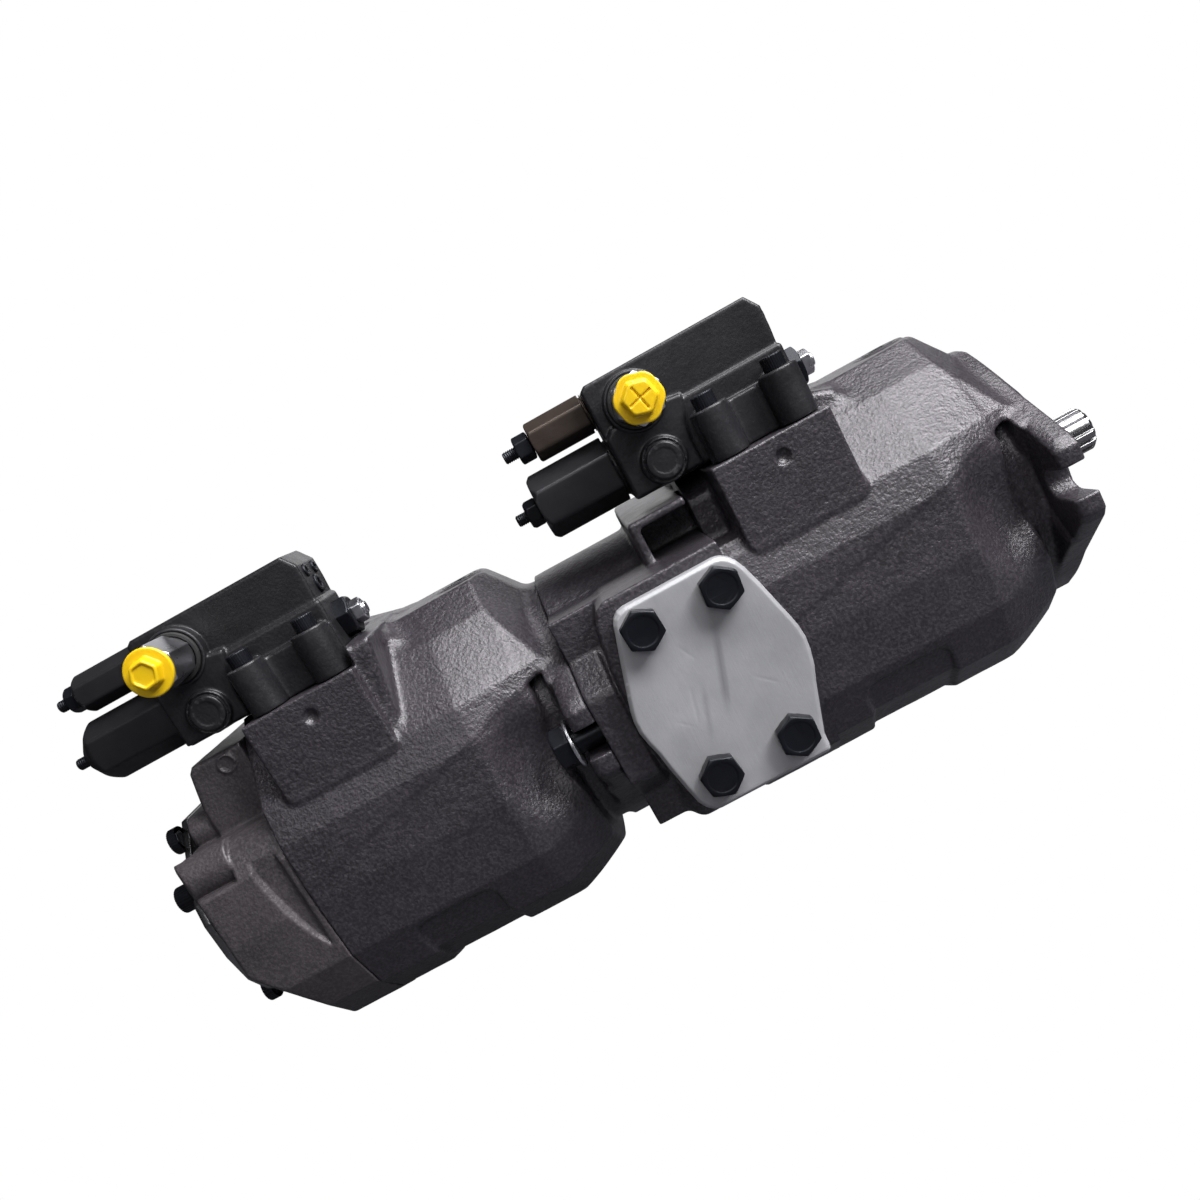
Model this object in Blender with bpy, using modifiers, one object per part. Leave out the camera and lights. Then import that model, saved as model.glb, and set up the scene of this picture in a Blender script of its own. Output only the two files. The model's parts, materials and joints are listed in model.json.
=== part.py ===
"""Tandem axial piston pump: two variable-displacement swashplate pumps joined nose to tail.

Frame: origin at the centre of the drive shaft's end face, +X along the shaft and away
from the pump, +Z up, the front pump's suction port on -Y. Front is +X, near is -Y and
far is +Y. Pieces are drawn from the front mounting flange's face and hang on one empty,
which carries them to that origin. Lengths are in millimetres; MM turns them into metres.
A shape made without a material is a cutter: a hidden helper that pieces are cut by,
joined with or intersected with.
"""
import bmesh
import bpy
from math import sin, cos, tan, radians, pi
from mathutils import Vector

MM = 0.001

# ---------------------------------------------------------------- driving dimensions
PITCH = 229.0            # front flange face to rear flange face
HOUSING_LEN = 149.0      # flange face to the port plate joint
GAP = 0.3                # clearance between neighbouring pieces
FLANGE_T = 12.7          # mounting flange thickness
BOLT_Y = 73.0            # half of the flange bolt spacing
BARREL_R = 77.0          # cast barrel
BARREL_TOP = 80.0        # flat crown above the shaft axis
PIVOT_X = -58.0          # swashplate tilt axis, from the flange face
CRADLE_R = 30.0
MAX_TILT = 16.0          # degrees, at full displacement
PITCH_R = 34.0           # piston circle radius
PISTON_R = 9.0
N_PISTONS = 9
ARM_Z = 57.0             # control piston axis above the shaft
SHAFT_OUT = 41.2         # drive shaft beyond the flange face
PAD_Z1 = 75.6            # top of the control pad, where the valve sits
DRAIN_X = -33.0          # drain plug in the crown, from the flange face
PORT_X = -174.7          # port centre, from the flange face
BOSS_Y = -90.0           # face of the middle plate's suction boss
COVER_SX, COVER_SZ = 35.7, 69.9   # suction port bolt pattern
BOLT_SHANK_R = 5.9

REAR_X = -PITCH                       # rear pump's flange face
REAR_JOINT = REAR_X - HOUSING_LEN     # rear pump's port plate joint
REAR_PORT_X = REAR_X + PORT_X
PUMPS = (("front", 0.0), ("rear", REAR_X))
SIDES = (("near", -1), ("far", 1))
PORT_CORNERS = ((-1, 1), (1, 1), (-1, -1), (1, -1))   # signs of x and z round a port
ORIGIN = (0, 0, 0)
HEX_TURN = pi / 6        # stands a hexagon on a flat instead of a corner

for old in list(bpy.data.objects):
    bpy.data.objects.remove(old, do_unlink=True)


# ------------------------------------------------------------ collections, materials
def collection(name):
    group = bpy.data.collections.new(name)
    bpy.context.scene.collection.children.link(group)
    return group


PARTS = collection("tandem_axial_piston_pump")
CUTTERS = collection("cutters")


def material(name, rgb, roughness, metallic):
    mat = bpy.data.materials.new(name)
    mat.use_nodes = True
    inputs = mat.node_tree.nodes["Principled BSDF"].inputs
    inputs["Base Color"].default_value = (*rgb, 1.0)
    inputs["Roughness"].default_value = roughness
    inputs["Metallic"].default_value = metallic
    return mat


CAST = material("cast_iron_grey", rgb=(0.075, 0.066, 0.072), roughness=0.55, metallic=0.6)
VALVE = material("valve_black", rgb=(0.022, 0.022, 0.024), roughness=0.42, metallic=0.5)
CAPS = material("adjuster_black", rgb=(0.03, 0.028, 0.028), roughness=0.35, metallic=0.7)
BRONZED = material("adjuster_brown", rgb=(0.05, 0.038, 0.03), roughness=0.35, metallic=0.8)
PLATE = material("cover_plate_grey", rgb=(0.42, 0.43, 0.44), roughness=0.5, metallic=0.7)
BLACK_BOLT = material("black_oxide", rgb=(0.018, 0.019, 0.026), roughness=0.4, metallic=0.7)
STEEL = material("machined_steel", rgb=(0.45, 0.45, 0.46), roughness=0.3, metallic=1.0)
BRONZE = material("bronze", rgb=(0.5, 0.33, 0.16), roughness=0.35, metallic=1.0)
YELLOW = material("yellow_plastic", rgb=(0.86, 0.60, 0.01), roughness=0.4, metallic=0.0)
RUBBER = material("seal_rubber", rgb=(0.03, 0.03, 0.03), roughness=0.7, metallic=0.0)
SILVER = material("plated_steel", rgb=(0.5, 0.5, 0.52), roughness=0.3, metallic=1.0)


# ------------------------------------------------------------------------ shape tools
def finish(obj, mat):
    """File a shape as a part when it has a material, or else as a hidden cutter."""
    for group in list(obj.users_collection):
        group.objects.unlink(obj)
    if mat is None:
        CUTTERS.objects.link(obj)
        obj.hide_render = True
        obj.display_type = "WIRE"
    else:
        PARTS.objects.link(obj)
        obj.data.materials.append(mat)
    return obj


def box(name, xs, ys, zs, bevel=0.0, bevel_segments=1, mat=None):
    """A box between the (low, high) pairs xs, ys and zs."""
    ranges = (xs, ys, zs)
    bpy.ops.mesh.primitive_cube_add(size=1, location=[MM * (a + b) / 2 for a, b in ranges])
    obj = bpy.context.object
    obj.name = name
    size = [MM * (b - a) for a, b in ranges]
    for vert in obj.data.vertices:
        vert.co = Vector([c * s for c, s in zip(vert.co, size)])
    if bevel:
        edges = obj.modifiers.new("edges", "BEVEL")
        edges.width = bevel * MM
        edges.segments = bevel_segments
        edges.limit_method = "NONE"
    return finish(obj, mat)


AXIS_TURN = {"x": (0, pi / 2, 0), "-y": (pi / 2, 0, 0), "y": (-pi / 2, 0, 0), "z": (0, 0, 0)}


def cyl(name, axis, centre, radius, length, segments=32, mat=None, spin=0.0):
    """A cylinder or, with 6 segments, a hexagonal prism, centred along its axis."""
    bpy.ops.mesh.primitive_cylinder_add(vertices=segments, radius=radius * MM,
                                        depth=length * MM, location=[c * MM for c in centre])
    obj = bpy.context.object
    obj.name = name
    if spin:
        for vert in obj.data.vertices:
            x, y = vert.co.x, vert.co.y
            vert.co.x = x * cos(spin) - y * sin(spin)
            vert.co.y = x * sin(spin) + y * cos(spin)
    obj.rotation_euler = AXIS_TURN[axis]
    return finish(obj, mat)


def turned(name, axis, origin, profile, segments=32, mat=None):
    """A turned shape. profile lists (radius, station) from the top of the axis down;
    when neither end touches the axis it is closed into a ring section."""
    count = len(profile)
    is_ring = profile[0][0] > 0 and profile[-1][0] > 0
    edges = [(i, (i + 1) % count) for i in range(count if is_ring else count - 1)]
    mesh = bpy.data.meshes.new(name)
    mesh.from_pydata([(r * MM, 0, station * MM) for r, station in profile], edges, [])
    obj = bpy.data.objects.new(name, mesh)
    turn = obj.modifiers.new("turn", "SCREW")
    turn.axis = "Z"
    turn.steps = turn.render_steps = segments
    turn.use_merge_vertices = True
    turn.merge_threshold = 0.00001
    turn.use_normal_calculate = False
    obj.location = [c * MM for c in origin]
    obj.rotation_euler = AXIS_TURN[axis]
    return finish(obj, mat)


def outline(name, points, plane, centre, thickness, mat=None):
    """A flat outline filled and thickened: a 2D curve turned into a welded mesh.
    'yz' takes (y, z) points and stands across X; 'xz' takes (x, z) and stands across Y."""
    curve = bpy.data.curves.new(name, "CURVE")
    curve.dimensions = "2D"
    curve.fill_mode = "BOTH"
    curve.extrude = thickness * MM / 2
    spline = curve.splines.new("POLY")
    spline.points.add(len(points) - 1)
    for point, (across, up) in zip(spline.points, points):
        point.co = (across * MM, up * MM, 0, 1)
    spline.use_cyclic_u = True
    source = bpy.data.objects.new(name + "_curve", curve)
    bpy.context.scene.collection.objects.link(source)
    source.rotation_euler = (pi / 2, 0, pi / 2 if plane == "yz" else 0)
    source.location = [c * MM for c in centre]
    bpy.context.view_layer.update()
    depsgraph = bpy.context.evaluated_depsgraph_get()
    mesh = bpy.data.meshes.new_from_object(source.evaluated_get(depsgraph))
    weld = bmesh.new()
    weld.from_mesh(mesh)
    bmesh.ops.remove_doubles(weld, verts=weld.verts, dist=0.00001)
    bmesh.ops.recalc_face_normals(weld, faces=weld.faces)
    weld.to_mesh(mesh)
    weld.free()
    obj = bpy.data.objects.new(name, mesh)
    obj.matrix_world = source.matrix_world.copy()
    bpy.data.objects.remove(source, do_unlink=True)
    return finish(obj, mat)


def shifted(points, distance):
    return [(distance + x, z) for x, z in points]


def boolean(obj, operation, *tools):
    for tool in tools:
        mod = obj.modifiers.new(operation.lower(), "BOOLEAN")
        mod.operation = operation
        mod.object = tool
        mod.solver = "EXACT"


def cut(obj, *tools):
    boolean(obj, "DIFFERENCE", *tools)


def join(obj, *tools):
    boolean(obj, "UNION", *tools)


def smooth(obj, angle=35):
    obj.data.shade_smooth()
    obj.data.set_sharp_from_angle(angle=radians(angle))


def move_origin(obj, x, y, z):
    """Move an object's origin to a joint's axis without moving its shape."""
    bpy.context.view_layer.update()
    new = Vector((x * MM, y * MM, z * MM))
    shift = obj.matrix_world.to_3x3().inverted() @ (obj.matrix_world.translation - new)
    for vert in obj.data.vertices:
        vert.co += shift
    obj.location = new


# ------------------------------------------------------------------------ housings
PILOT_R, PILOT_L = 50.8, 9.5
SLOT_R = 7.15            # half the width of a flange bolt slot
SLOT_MOUTH_Y = 100       # past the end of the ear
CAVITY_R = 60.0
PAD_Y = -74.4            # near face of the control pad
WIDE = (-140, 140)       # trimming boxes reach past everything

# (radius, station from the flange face)
BODY_PROFILE = [
    (0, -3), (59.0, -3), (61.0, -18), (66.0, -27), (73.5, -41), (BARREL_R, -50),
    (BARREL_R, -HOUSING_LEN - 3), (0, -HOUSING_LEN - 3)]
# seal bore, bearing bore and cavity: (radius, station from the flange face)
HOLLOW_PROFILE = [
    (0, 20), (17.0, 20), (17.0, 0.5), (24.0, 0.5), (24.0, -10.5), (29.0, -10.5), (29.0, -24),
    (22.0, -24), (22.0, -30), (54.0, -30), (CAVITY_R, -42), (CAVITY_R, -HOUSING_LEN - 5),
    (0, -HOUSING_LEN - 5)]
# side views: (x from the flange face, z)
CROWN_SIDE = [(-5, 52), (-5, 62), (-17, 78.5), (-22, BARREL_TOP),
              (-HOUSING_LEN - 3, BARREL_TOP), (-HOUSING_LEN - 3, 52)]
MOUND_SIDE = [(-HOUSING_LEN - 4, 50), (-HOUSING_LEN - 4, 84), (-HOUSING_LEN + 8, 87),
              (-92, 87), (-62, 79.0), (-62, 50)]
# the -Y ear of the flange: (y, z)
EAR = [(-83.3, 19.1), (-87.4, 15.0), (-87.4, -15.0), (-83.3, -19.1)]


def flange_outline():
    """Two-bolt flange: a round centre drawn out to two ears on +-Y."""
    radius, first, steps = 63.0, 77.0, 5

    def arc(start):
        angles = [radians(start + (180 - 2 * first) * i / steps) for i in range(steps + 1)]
        return [(radius * cos(t), radius * sin(t)) for t in angles]

    return arc(first) + EAR + arc(180 + first) + [(-y, z) for y, z in reversed(EAR)]


def slot_cutter(name, sign, x0):
    """An open U slot through one ear: a half round and a straight mouth."""
    points = [(sign * (BOLT_Y - SLOT_R * sin(t)), SLOT_R * cos(t))
              for t in [pi * k / 8 for k in range(9)]]
    points += [(sign * SLOT_MOUTH_Y, -SLOT_R), (sign * SLOT_MOUTH_Y, SLOT_R)]
    low, high = x0 - FLANGE_T - 12, x0 + 5
    return outline(name, points, "yz", ((low + high) / 2, 0, 0), high - low)


def housing(name, x0):
    """One pump casing. x0 is its flange face; the body runs towards -X."""
    back = x0 - HOUSING_LEN
    body = turned(name, "x", (x0, 0, 0), BODY_PROFILE, mat=CAST)
    join(body,
         outline(f"{name}_flange", flange_outline(), "yz", (x0 - FLANGE_T / 2, 0, 0), FLANGE_T),
         cyl(f"{name}_pilot", "x", (x0 + PILOT_L / 2 - 1, 0, 0), PILOT_R, PILOT_L + 2),
         # crown above the shaft, falling to the flange
         outline(f"{name}_crown", shifted(CROWN_SIDE, x0), "xz", ORIGIN, 62),
         # control pad under the valve, and the mound over the control piston beside it
         box(f"{name}_pad", (x0 - 136.4, x0 - 80.7), (PAD_Y, -2), (35.0, PAD_Z1), bevel=2.0),
         outline(f"{name}_mound", shifted(MOUND_SIDE, x0), "xz", (0, 23.5, 0), 38))
    cut(body,
        # machined seat of the valve, cut level with the pad's top
        box(f"{name}_valve_seat", (back - 5, x0 - 79.5), (-95, 4.0), (PAD_Z1, 140)),
        box(f"{name}_joint_trim", (back - 30, back), WIDE, WIDE),
        turned(f"{name}_hollow", "x", (x0, 0, 0), HOLLOW_PROFILE, segments=24))
    for side, sign in SIDES:
        join(body, box(f"{name}_cradle_seat_{side}", (x0 - 37, x0 - 27),
                       sorted((sign * 24, sign * 47)), (-24, 24)))
    cut(body,
        cyl(f"{name}_cradle", "y", (x0 + PIVOT_X, 0, 0), CRADLE_R + 0.5, length=100),
        cyl(f"{name}_control_bore", "x", (x0 - 97, 0, ARM_Z + 3.5), radius=12.0, length=114,
            segments=14),
        *[slot_cutter(f"{name}_slot_{side}", sign, x0) for side, sign in SIDES])
    # relief behind each ear so a bolt head seats flat
    for side, sign in SIDES:
        centre = (x0 - FLANGE_T - 9.7, sign * (BOLT_Y + 3), 0)
        cut(body, cyl(f"{name}_spot_{side}", "x", centre, radius=15.0, length=20, segments=16))
    # dimple on the pad and the drain port in the crown
    cut(body,
        cyl(f"{name}_dimple", "-y", (x0 - 107, PAD_Y, 66), radius=3.4, length=4, segments=10),
        cyl(f"{name}_drain", "z", (x0 + DRAIN_X, 0, BARREL_TOP), radius=9.3, length=18,
            segments=14))
    smooth(body)


# ---------------------------------------------------------------------- port plates
MATE_SCALE = 0.985       # mating flange, slightly smaller than the rear pump's flange
BOSS_INNER_Y = -30
BOSS_EDGE = [            # middle suction boss: (x from the port centre, z)
    (-27.5, 51.2), (-32.0, 48.5), (-34.3, 42.3), (-36.0, 34.2), (-37.5, 23.9), (-38.3, 13.5),
    (-38.3, -16), (-36.5, -32), (-32.5, -47), (-28, -52), (25.5, -52), (28.4, -49), (28.4, 48),
    (25.5, 51.2)]
# through bore, opening to the pilot recess at the back: (radius, x)
THROUGH_PROFILE = [(0, -160), (22.0, -160), (22.0, -219), (51.3, -219), (51.3, -260), (0, -260)]

REAR_FACE = -431.0
REAR_PROFILE = [         # (radius, x)
    (0, REAR_JOINT + 2), (76.0, REAR_JOINT + 2), (76.0, -392), (70.0, -408), (62.5, -424),
    (62.5, REAR_FACE), (0, REAR_FACE)]
REAR_NEAR_PAD = [(-427, 42), (-400, 42), (-384, 20), (-384, -38), (-392, -58), (-405, -60),
                 (-424, -44)]      # (x, z)


def spigot(name, x0):
    """The round step that enters the housing's cavity."""
    return cyl(f"{name}_spigot", "x", (x0 - HOUSING_LEN + 3.0, 0, 0), radius=57.0, length=8.5,
               segments=28)


def middle_port_plate():
    """Plate between the pumps: front pump's ports, and the flange the rear pump bolts to."""
    plate = box("middle_port_plate", (PORT_X - 3.5, -HOUSING_LEN - GAP), (-75, 75), (-75, 70),
                bevel=5.0, bevel_segments=2, mat=CAST)
    ledge_x = (REAR_X - 6, PORT_X)
    join(plate,
         cyl("middle_neck", "x", ((PORT_X + REAR_X) / 2 - 0.2, 0, 0), radius=65.0,
             length=PORT_X - REAR_X + 5.8),
         outline("middle_mating_flange",
                 [(y * MATE_SCALE, z * MATE_SCALE) for y, z in flange_outline()], "yz",
                 (REAR_X + GAP + 6.0, 0, 0), 16.0),
         outline("middle_suction_boss", shifted(BOSS_EDGE, PORT_X), "xz",
                 (0, (BOSS_Y + BOSS_INNER_Y) / 2, 0), BOSS_INNER_Y - BOSS_Y),
         box("middle_pressure_boss", (PORT_X - 30, PORT_X + 25), (30, 88), (-42, 42), bevel=5.0),
         box("middle_top_ledge", ledge_x, (-64, 64), (30, 52), bevel=2.0),
         box("middle_bottom_ledge", ledge_x, (-58, 58), (-66, -36), bevel=3.0))
    cut(plate, box("middle_boss_trim", (-HOUSING_LEN - GAP, -HOUSING_LEN + 40), (-79.0, 0),
                   (-90, 90)))
    join(plate, spigot("middle", 0.0))
    cut(plate,
        box("middle_neck_trim", (REAR_X - 20, REAR_X + GAP), (-120, 120), (-120, 120)),
        turned("middle_through_bore", "x", ORIGIN, THROUGH_PROFILE, segments=28),
        cyl("middle_suction_bore", "-y", (PORT_X, -61.5, 0), radius=19.0, length=71,
            segments=20),
        cyl("middle_pressure_bore", "-y", (PORT_X, 62, 0), radius=12.7, length=72, segments=16),
        cyl("middle_shaft_bore", "x", (-HOUSING_LEN - 5, 0, 0), radius=15.5, length=50,
            segments=20),
        cyl("middle_suction_kidney", "x", (-158, -PITCH_R, 0), radius=8.0, length=50,
            segments=12),
        cyl("middle_pressure_kidney", "x", (-158, PITCH_R, 0), radius=7.0, length=50,
            segments=12))
    for i, (sign_x, sign_z) in enumerate(PORT_CORNERS):
        cover_hole = (PORT_X + sign_x * COVER_SX / 2, BOSS_Y, sign_z * COVER_SZ / 2)
        pressure_hole = (PORT_X + sign_x * 13.1, 88, sign_z * 26.2)
        cut(plate,
            cyl(f"middle_cover_hole_{i}", "-y", cover_hole, radius=6.3, length=44, segments=10),
            cyl(f"middle_pressure_hole_{i}", "-y", pressure_hole, radius=5.0, length=34,
                segments=8))
    for side, sign in SIDES:
        cut(plate, cyl(f"middle_flange_hole_{side}", "x", (REAR_X + 5, sign * BOLT_Y, 0),
                       radius=6.4, length=40, segments=10))
    smooth(plate)


def rear_port_plate():
    """End plate of the rear pump: suction on +Y, pressure underneath."""
    plate = turned("rear_port_plate", "x", ORIGIN, REAR_PROFILE, mat=CAST)
    join(plate,
         box("rear_top_block", (-411, REAR_JOINT + 6), (-52, 52), (30, 71), bevel=4.0),
         outline("rear_near_pad", REAR_NEAR_PAD, "xz", (0, -60, 0), 34),
         box("rear_bolt_boss", (-416, REAR_JOINT + 8), (-64, -20), (32, 53), bevel=5.0),
         box("rear_suction_boss", (REAR_PORT_X - 22, REAR_PORT_X + 24), (30, 86), (-46, 46),
             bevel=5.0),
         box("rear_pressure_boss", (REAR_PORT_X - 19, REAR_PORT_X + 19), (4, 62), (-80, -40),
             bevel=4.0))
    cut(plate, box("rear_joint_trim", (REAR_JOINT - GAP, REAR_JOINT + 40), WIDE, WIDE))
    join(plate, spigot("rear", REAR_X))
    cut(plate,
        cyl("rear_suction_bore", "-y", (REAR_PORT_X + 1, 60, 0), radius=17.0, length=68,
            segments=16),
        cyl("rear_pressure_bore", "z", (REAR_PORT_X, 34, -60), radius=11.0, length=60,
            segments=12),
        cyl("rear_shaft_bore", "x", (-380, 0, 0), radius=15.5, length=34, segments=20),
        cyl("rear_suction_kidney", "x", (-389, PITCH_R, 12), radius=8.0, length=60,
            segments=12),
        cyl("rear_pressure_kidney", "x", (-389, PITCH_R * 0.85, -17), radius=6.0, length=60,
            segments=10),
        turned("rear_bearing_bore", "x", ORIGIN, [(0, -396), (20, -396), (20, -440), (0, -440)],
               segments=20))
    smooth(plate)


def rear_cover():
    """Disc over the rear bearing bore, with three screw heads on each side."""
    disc = turned("rear_cover", "x", ORIGIN,
                  [(0, REAR_FACE - GAP), (62.0, REAR_FACE - GAP), (62.0, REAR_FACE - 3.2),
                   (60.8, REAR_FACE - 4.4), (0, REAR_FACE - 4.4)], mat=STEEL)
    screws = [(sign * y, z) for sign in (-1, 1) for y, z in ((51, 17), (19.5, -51), (33, 40.5))]
    for i, (y, z) in enumerate(screws):
        join(disc, cyl(f"rear_screw_head_{i}", "x", (REAR_FACE - 8.5, y, z), radius=6.5,
                       length=11, segments=14))
    smooth(disc)


# --------------------------------------------------------- suction cover plate, bolts
COVER_T = 7.0
COVER_OUT = BOSS_Y - COVER_T - GAP     # outer face of the cover plate
# (x from the port centre, z); the sides bow out between the bolts
COVER_EDGE = [
    (-20.4, 46.0), (-23.7, 45.3), (-26.1, 43.4), (-27.6, 41.0), (-28.9, 36.7), (-32.1, 26.7),
    (-36.2, 13.8), (-38.5, 6.2), (-39.5, 1.4), (-39.7, -4.2), (-38.6, -10.2), (-37.2, -15.5),
    (-36.0, -23.5), (-34.0, -34.0), (-32.0, -43.0), (-29.9, -46.6), (-27.2, -48.9),
    (-24.5, -49.7), (26.3, -49.7), (27.8, -48.8), (28.2, -46.8), (28.4, -41.6), (29.2, -39.1),
    (31.2, -32.7), (35.0, -20.5), (37.6, -13.5), (39.1, -6.8), (39.7, -1.0), (39.2, 4.5),
    (38.0, 9.9), (35.8, 18.1), (33.2, 28.0), (30.5, 36.7), (28.7, 40.6), (26.4, 43.4),
    (23.6, 45.3), (20.8, 46.0)]


def suction_cover():
    """Cover plate over the middle suction port and its four bolts."""
    head_len, shank_len = 7.2, 28
    cover = outline("suction_cover_plate", shifted(COVER_EDGE, PORT_X), "xz",
                    (0, BOSS_Y - GAP - COVER_T / 2, 0), COVER_T, PLATE)
    for i, (sign_x, sign_z) in enumerate(PORT_CORNERS):
        x, z = PORT_X + sign_x * COVER_SX / 2, sign_z * COVER_SZ / 2
        cut(cover, cyl(f"cover_hole_{i}", "-y", (x, BOSS_Y - 4, z), radius=6.5, length=30,
                       segments=12))
        head = cyl(f"suction_cover_bolt_{i + 1}", "-y", (x, COVER_OUT - GAP - head_len / 2, z),
                   radius=9.8, length=head_len, segments=6, mat=BLACK_BOLT, spin=HEX_TURN)
        join(head, cyl(f"cover_bolt_shank_{i}", "-y", (x, COVER_OUT - 2 + shank_len / 2, z),
                       BOLT_SHANK_R, shank_len, segments=10))


def flange_bolt(side, sign):
    """A bolt that joins the pumps: hexagon head, washer and shank in one piece."""
    seat_x = REAR_X - FLANGE_T - GAP
    head_len, washer_t, shank_len = 8.0, 2.5, 38
    y = sign * BOLT_Y
    head = cyl(f"flange_bolt_{side}", "x", (seat_x - washer_t - head_len / 2, y, 0),
               radius=10.4, length=head_len, segments=6, mat=BLACK_BOLT, spin=HEX_TURN)
    join(head,
         cyl(f"flange_bolt_washer_{side}", "x", (seat_x - washer_t / 2, y, 0), radius=11.8,
             length=washer_t, segments=16),
         cyl(f"flange_bolt_shank_{side}", "x", (seat_x - 3 + shank_len / 2, y, 0),
             BOLT_SHANK_R, shank_len, segments=10))


# -------------------------------------------------------------------- control valves
VALVE_Y = -36.0                     # axis of both valve spools
UPPER_Z, LOWER_Z = 120.9, 93.8      # flow spool above, pressure spool below
FITTING_X, FITTING_Z = -149.9, 115.4
VALVE_SIDE = [                      # (x from the flange face, z)
    (-168.4, 103), (-168.4, 129.3), (-166.4, 131.3), (-87, 131.3), (-82.1, 121.2),
    (-83.3, 114), (-83.3, 103)]
VALVE_SCREWS = [(x, y) for y in (-62, -8) for x in (-124.3, -91.5)]
SCREW_BOSS_Z0, SCREW_BOSS_Z1 = PAD_Z1 - 3, 98.7
PILOT_CAP_PROFILE = [               # (radius, distance towards -Y)
    (0, 94.8), (6.4, 94.8), (7.0, 94.0), (7.0, 89.6), (10.6, 89.6), (10.6, 87.3), (3.1, 87.3),
    (3.1, 79.0), (0, 79.0)]
ADJUSTER_BORE_R = 3.3               # screw hole in caps and lock nuts


def valve_body(name, x0):
    fitting_x = x0 + FITTING_X
    body = outline(f"{name}_valve_body", shifted(VALVE_SIDE, x0), "xz", (0, VALVE_Y, 0), 33.5,
                   VALVE)
    join(body,
         box(f"{name}_valve_low", (x0 - 168.3, x0 - 83), (-54, -18), (77.5, 106.5), bevel=3.0),
         box(f"{name}_valve_foot", (x0 - 132, x0 - 83.5), (-61, -9), (PAD_Z1 - 4, 98),
             bevel=2.0))
    for i, (x, y) in enumerate(VALVE_SCREWS):
        join(body,
             cyl(f"{name}_valve_screw_boss_{i}", "z",
                 (x0 + x, y, (SCREW_BOSS_Z0 + SCREW_BOSS_Z1) / 2), radius=9.0,
                 length=SCREW_BOSS_Z1 - SCREW_BOSS_Z0, segments=14),
             cyl(f"{name}_valve_screw_head_{i}", "z", (x0 + x, y, 101.0), radius=5.2, length=8,
                 segments=10))
    join(body,
         cyl(f"{name}_fitting_boss", "-y", (fitting_x, -53, FITTING_Z), radius=12.2, length=14,
             segments=18),
         cyl(f"{name}_plug_boss", "-y", (x0 - 150.2, -60, 87.6), radius=8.9, length=17,
             segments=16),
         cyl(f"{name}_end_plug_low", "x", (x0 - 80.5, VALVE_Y, 94), radius=9.7, length=9,
             segments=6),
         cyl(f"{name}_end_nut_low", "x", (x0 - 75, VALVE_Y, 94), radius=6.0, length=10,
             segments=6))
    cut(body,
        # levels the underside just above the pad
        box(f"{name}_valve_sole", (x0 - 180, x0 - 60), (-90, 20), (PAD_Z1 - 20, PAD_Z1 + GAP)),
        cyl(f"{name}_flow_bore", "x", (x0 - 140, VALVE_Y, UPPER_Z), radius=5.0, length=80,
            segments=14),
        cyl(f"{name}_pressure_bore", "x", (x0 - 140, VALVE_Y, LOWER_Z), radius=6.0, length=80,
            segments=14),
        cyl(f"{name}_fitting_bore", "-y", (fitting_x, -55, FITTING_Z), radius=5.2, length=20,
            segments=12))
    smooth(body)


def spool(name, x0, z, land_r, neck_r):
    """Two lands with a neck between them."""
    smooth(turned(name, "x", (x0 - 135, VALVE_Y, z),
                  [(0, 25), (land_r, 25), (land_r, 13), (neck_r, 13), (neck_r, -3),
                   (land_r, -3), (land_r, -22), (0, -22)], segments=12, mat=STEEL))


def adjuster(name, z, start, end, cap_r, taper, hollow_r, wall, screw_in, screw_out, nut_len,
             mat):
    """Hexagonal cap from x = start to end, its lock nut and screw.

    taper is (length, end radius) or None for a plain prism. wall is the end wall's
    thickness. screw_in and screw_out are the screw's reach from the cap's end, inwards
    and outwards. nut_len is None where there is no lock nut."""
    axis = (0, VALVE_Y, z)
    if taper:
        taper_len, end_r = taper
        cap = turned(f"{name}_cap", "x", axis,
                     [(0, start), (cap_r, start), (cap_r, end + taper_len), (end_r, end),
                      (0, end)], segments=6, mat=mat)
    else:
        cap = cyl(f"{name}_cap", "x", ((end + start) / 2, VALVE_Y, z), cap_r, start - end,
                  segments=6, mat=mat, spin=HEX_TURN)
    cut(cap, turned(f"{name}_cap_hollow", "x", axis,
                    [(0, start + 5), (hollow_r, start + 5), (hollow_r, end + wall),
                     (ADJUSTER_BORE_R, end + wall), (ADJUSTER_BORE_R, end - 5), (0, end - 5)],
                    segments=12))
    if nut_len:
        nut = cyl(f"{name}_lock_nut", "x", (end - GAP - nut_len / 2, VALVE_Y, z), radius=6.6,
                  length=nut_len, segments=6, mat=BLACK_BOLT, spin=HEX_TURN)
        cut(nut, cyl(f"{name}_nut_hole", "x", (end - 4, VALVE_Y, z), ADJUSTER_BORE_R,
                     length=20, segments=12))
    inner, tip = end + screw_in, end - screw_out
    smooth(turned(f"{name}_screw", "x", axis,
                  [(0, inner), (2.9, inner), (2.9, tip + 0.7), (2.3, tip), (0, tip)],
                  segments=12, mat=BLACK_BOLT))


def pilot_fitting(name, x0):
    """Pilot line fitting, and the plug cap pushed into its mouth."""
    x, z = x0 + FITTING_X, FITTING_Z
    fitting = cyl(f"{name}_pilot_fitting", "-y", (x, -73.65, z), radius=11.3, length=26.7,
                  segments=6, mat=SILVER, spin=pi / 12)
    join(fitting, cyl(f"{name}_fitting_stub", "-y", (x, -56, z), radius=4.7, length=12,
                      segments=12))
    cut(fitting, cyl(f"{name}_fitting_tube", "-y", (x, -75, z), radius=3.5, length=30,
                     segments=12))
    smooth(fitting)
    smooth(turned(f"{name}_pilot_cap", "-y", (x, 0, z), PILOT_CAP_PROFILE, segments=16,
                  mat=YELLOW))


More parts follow.
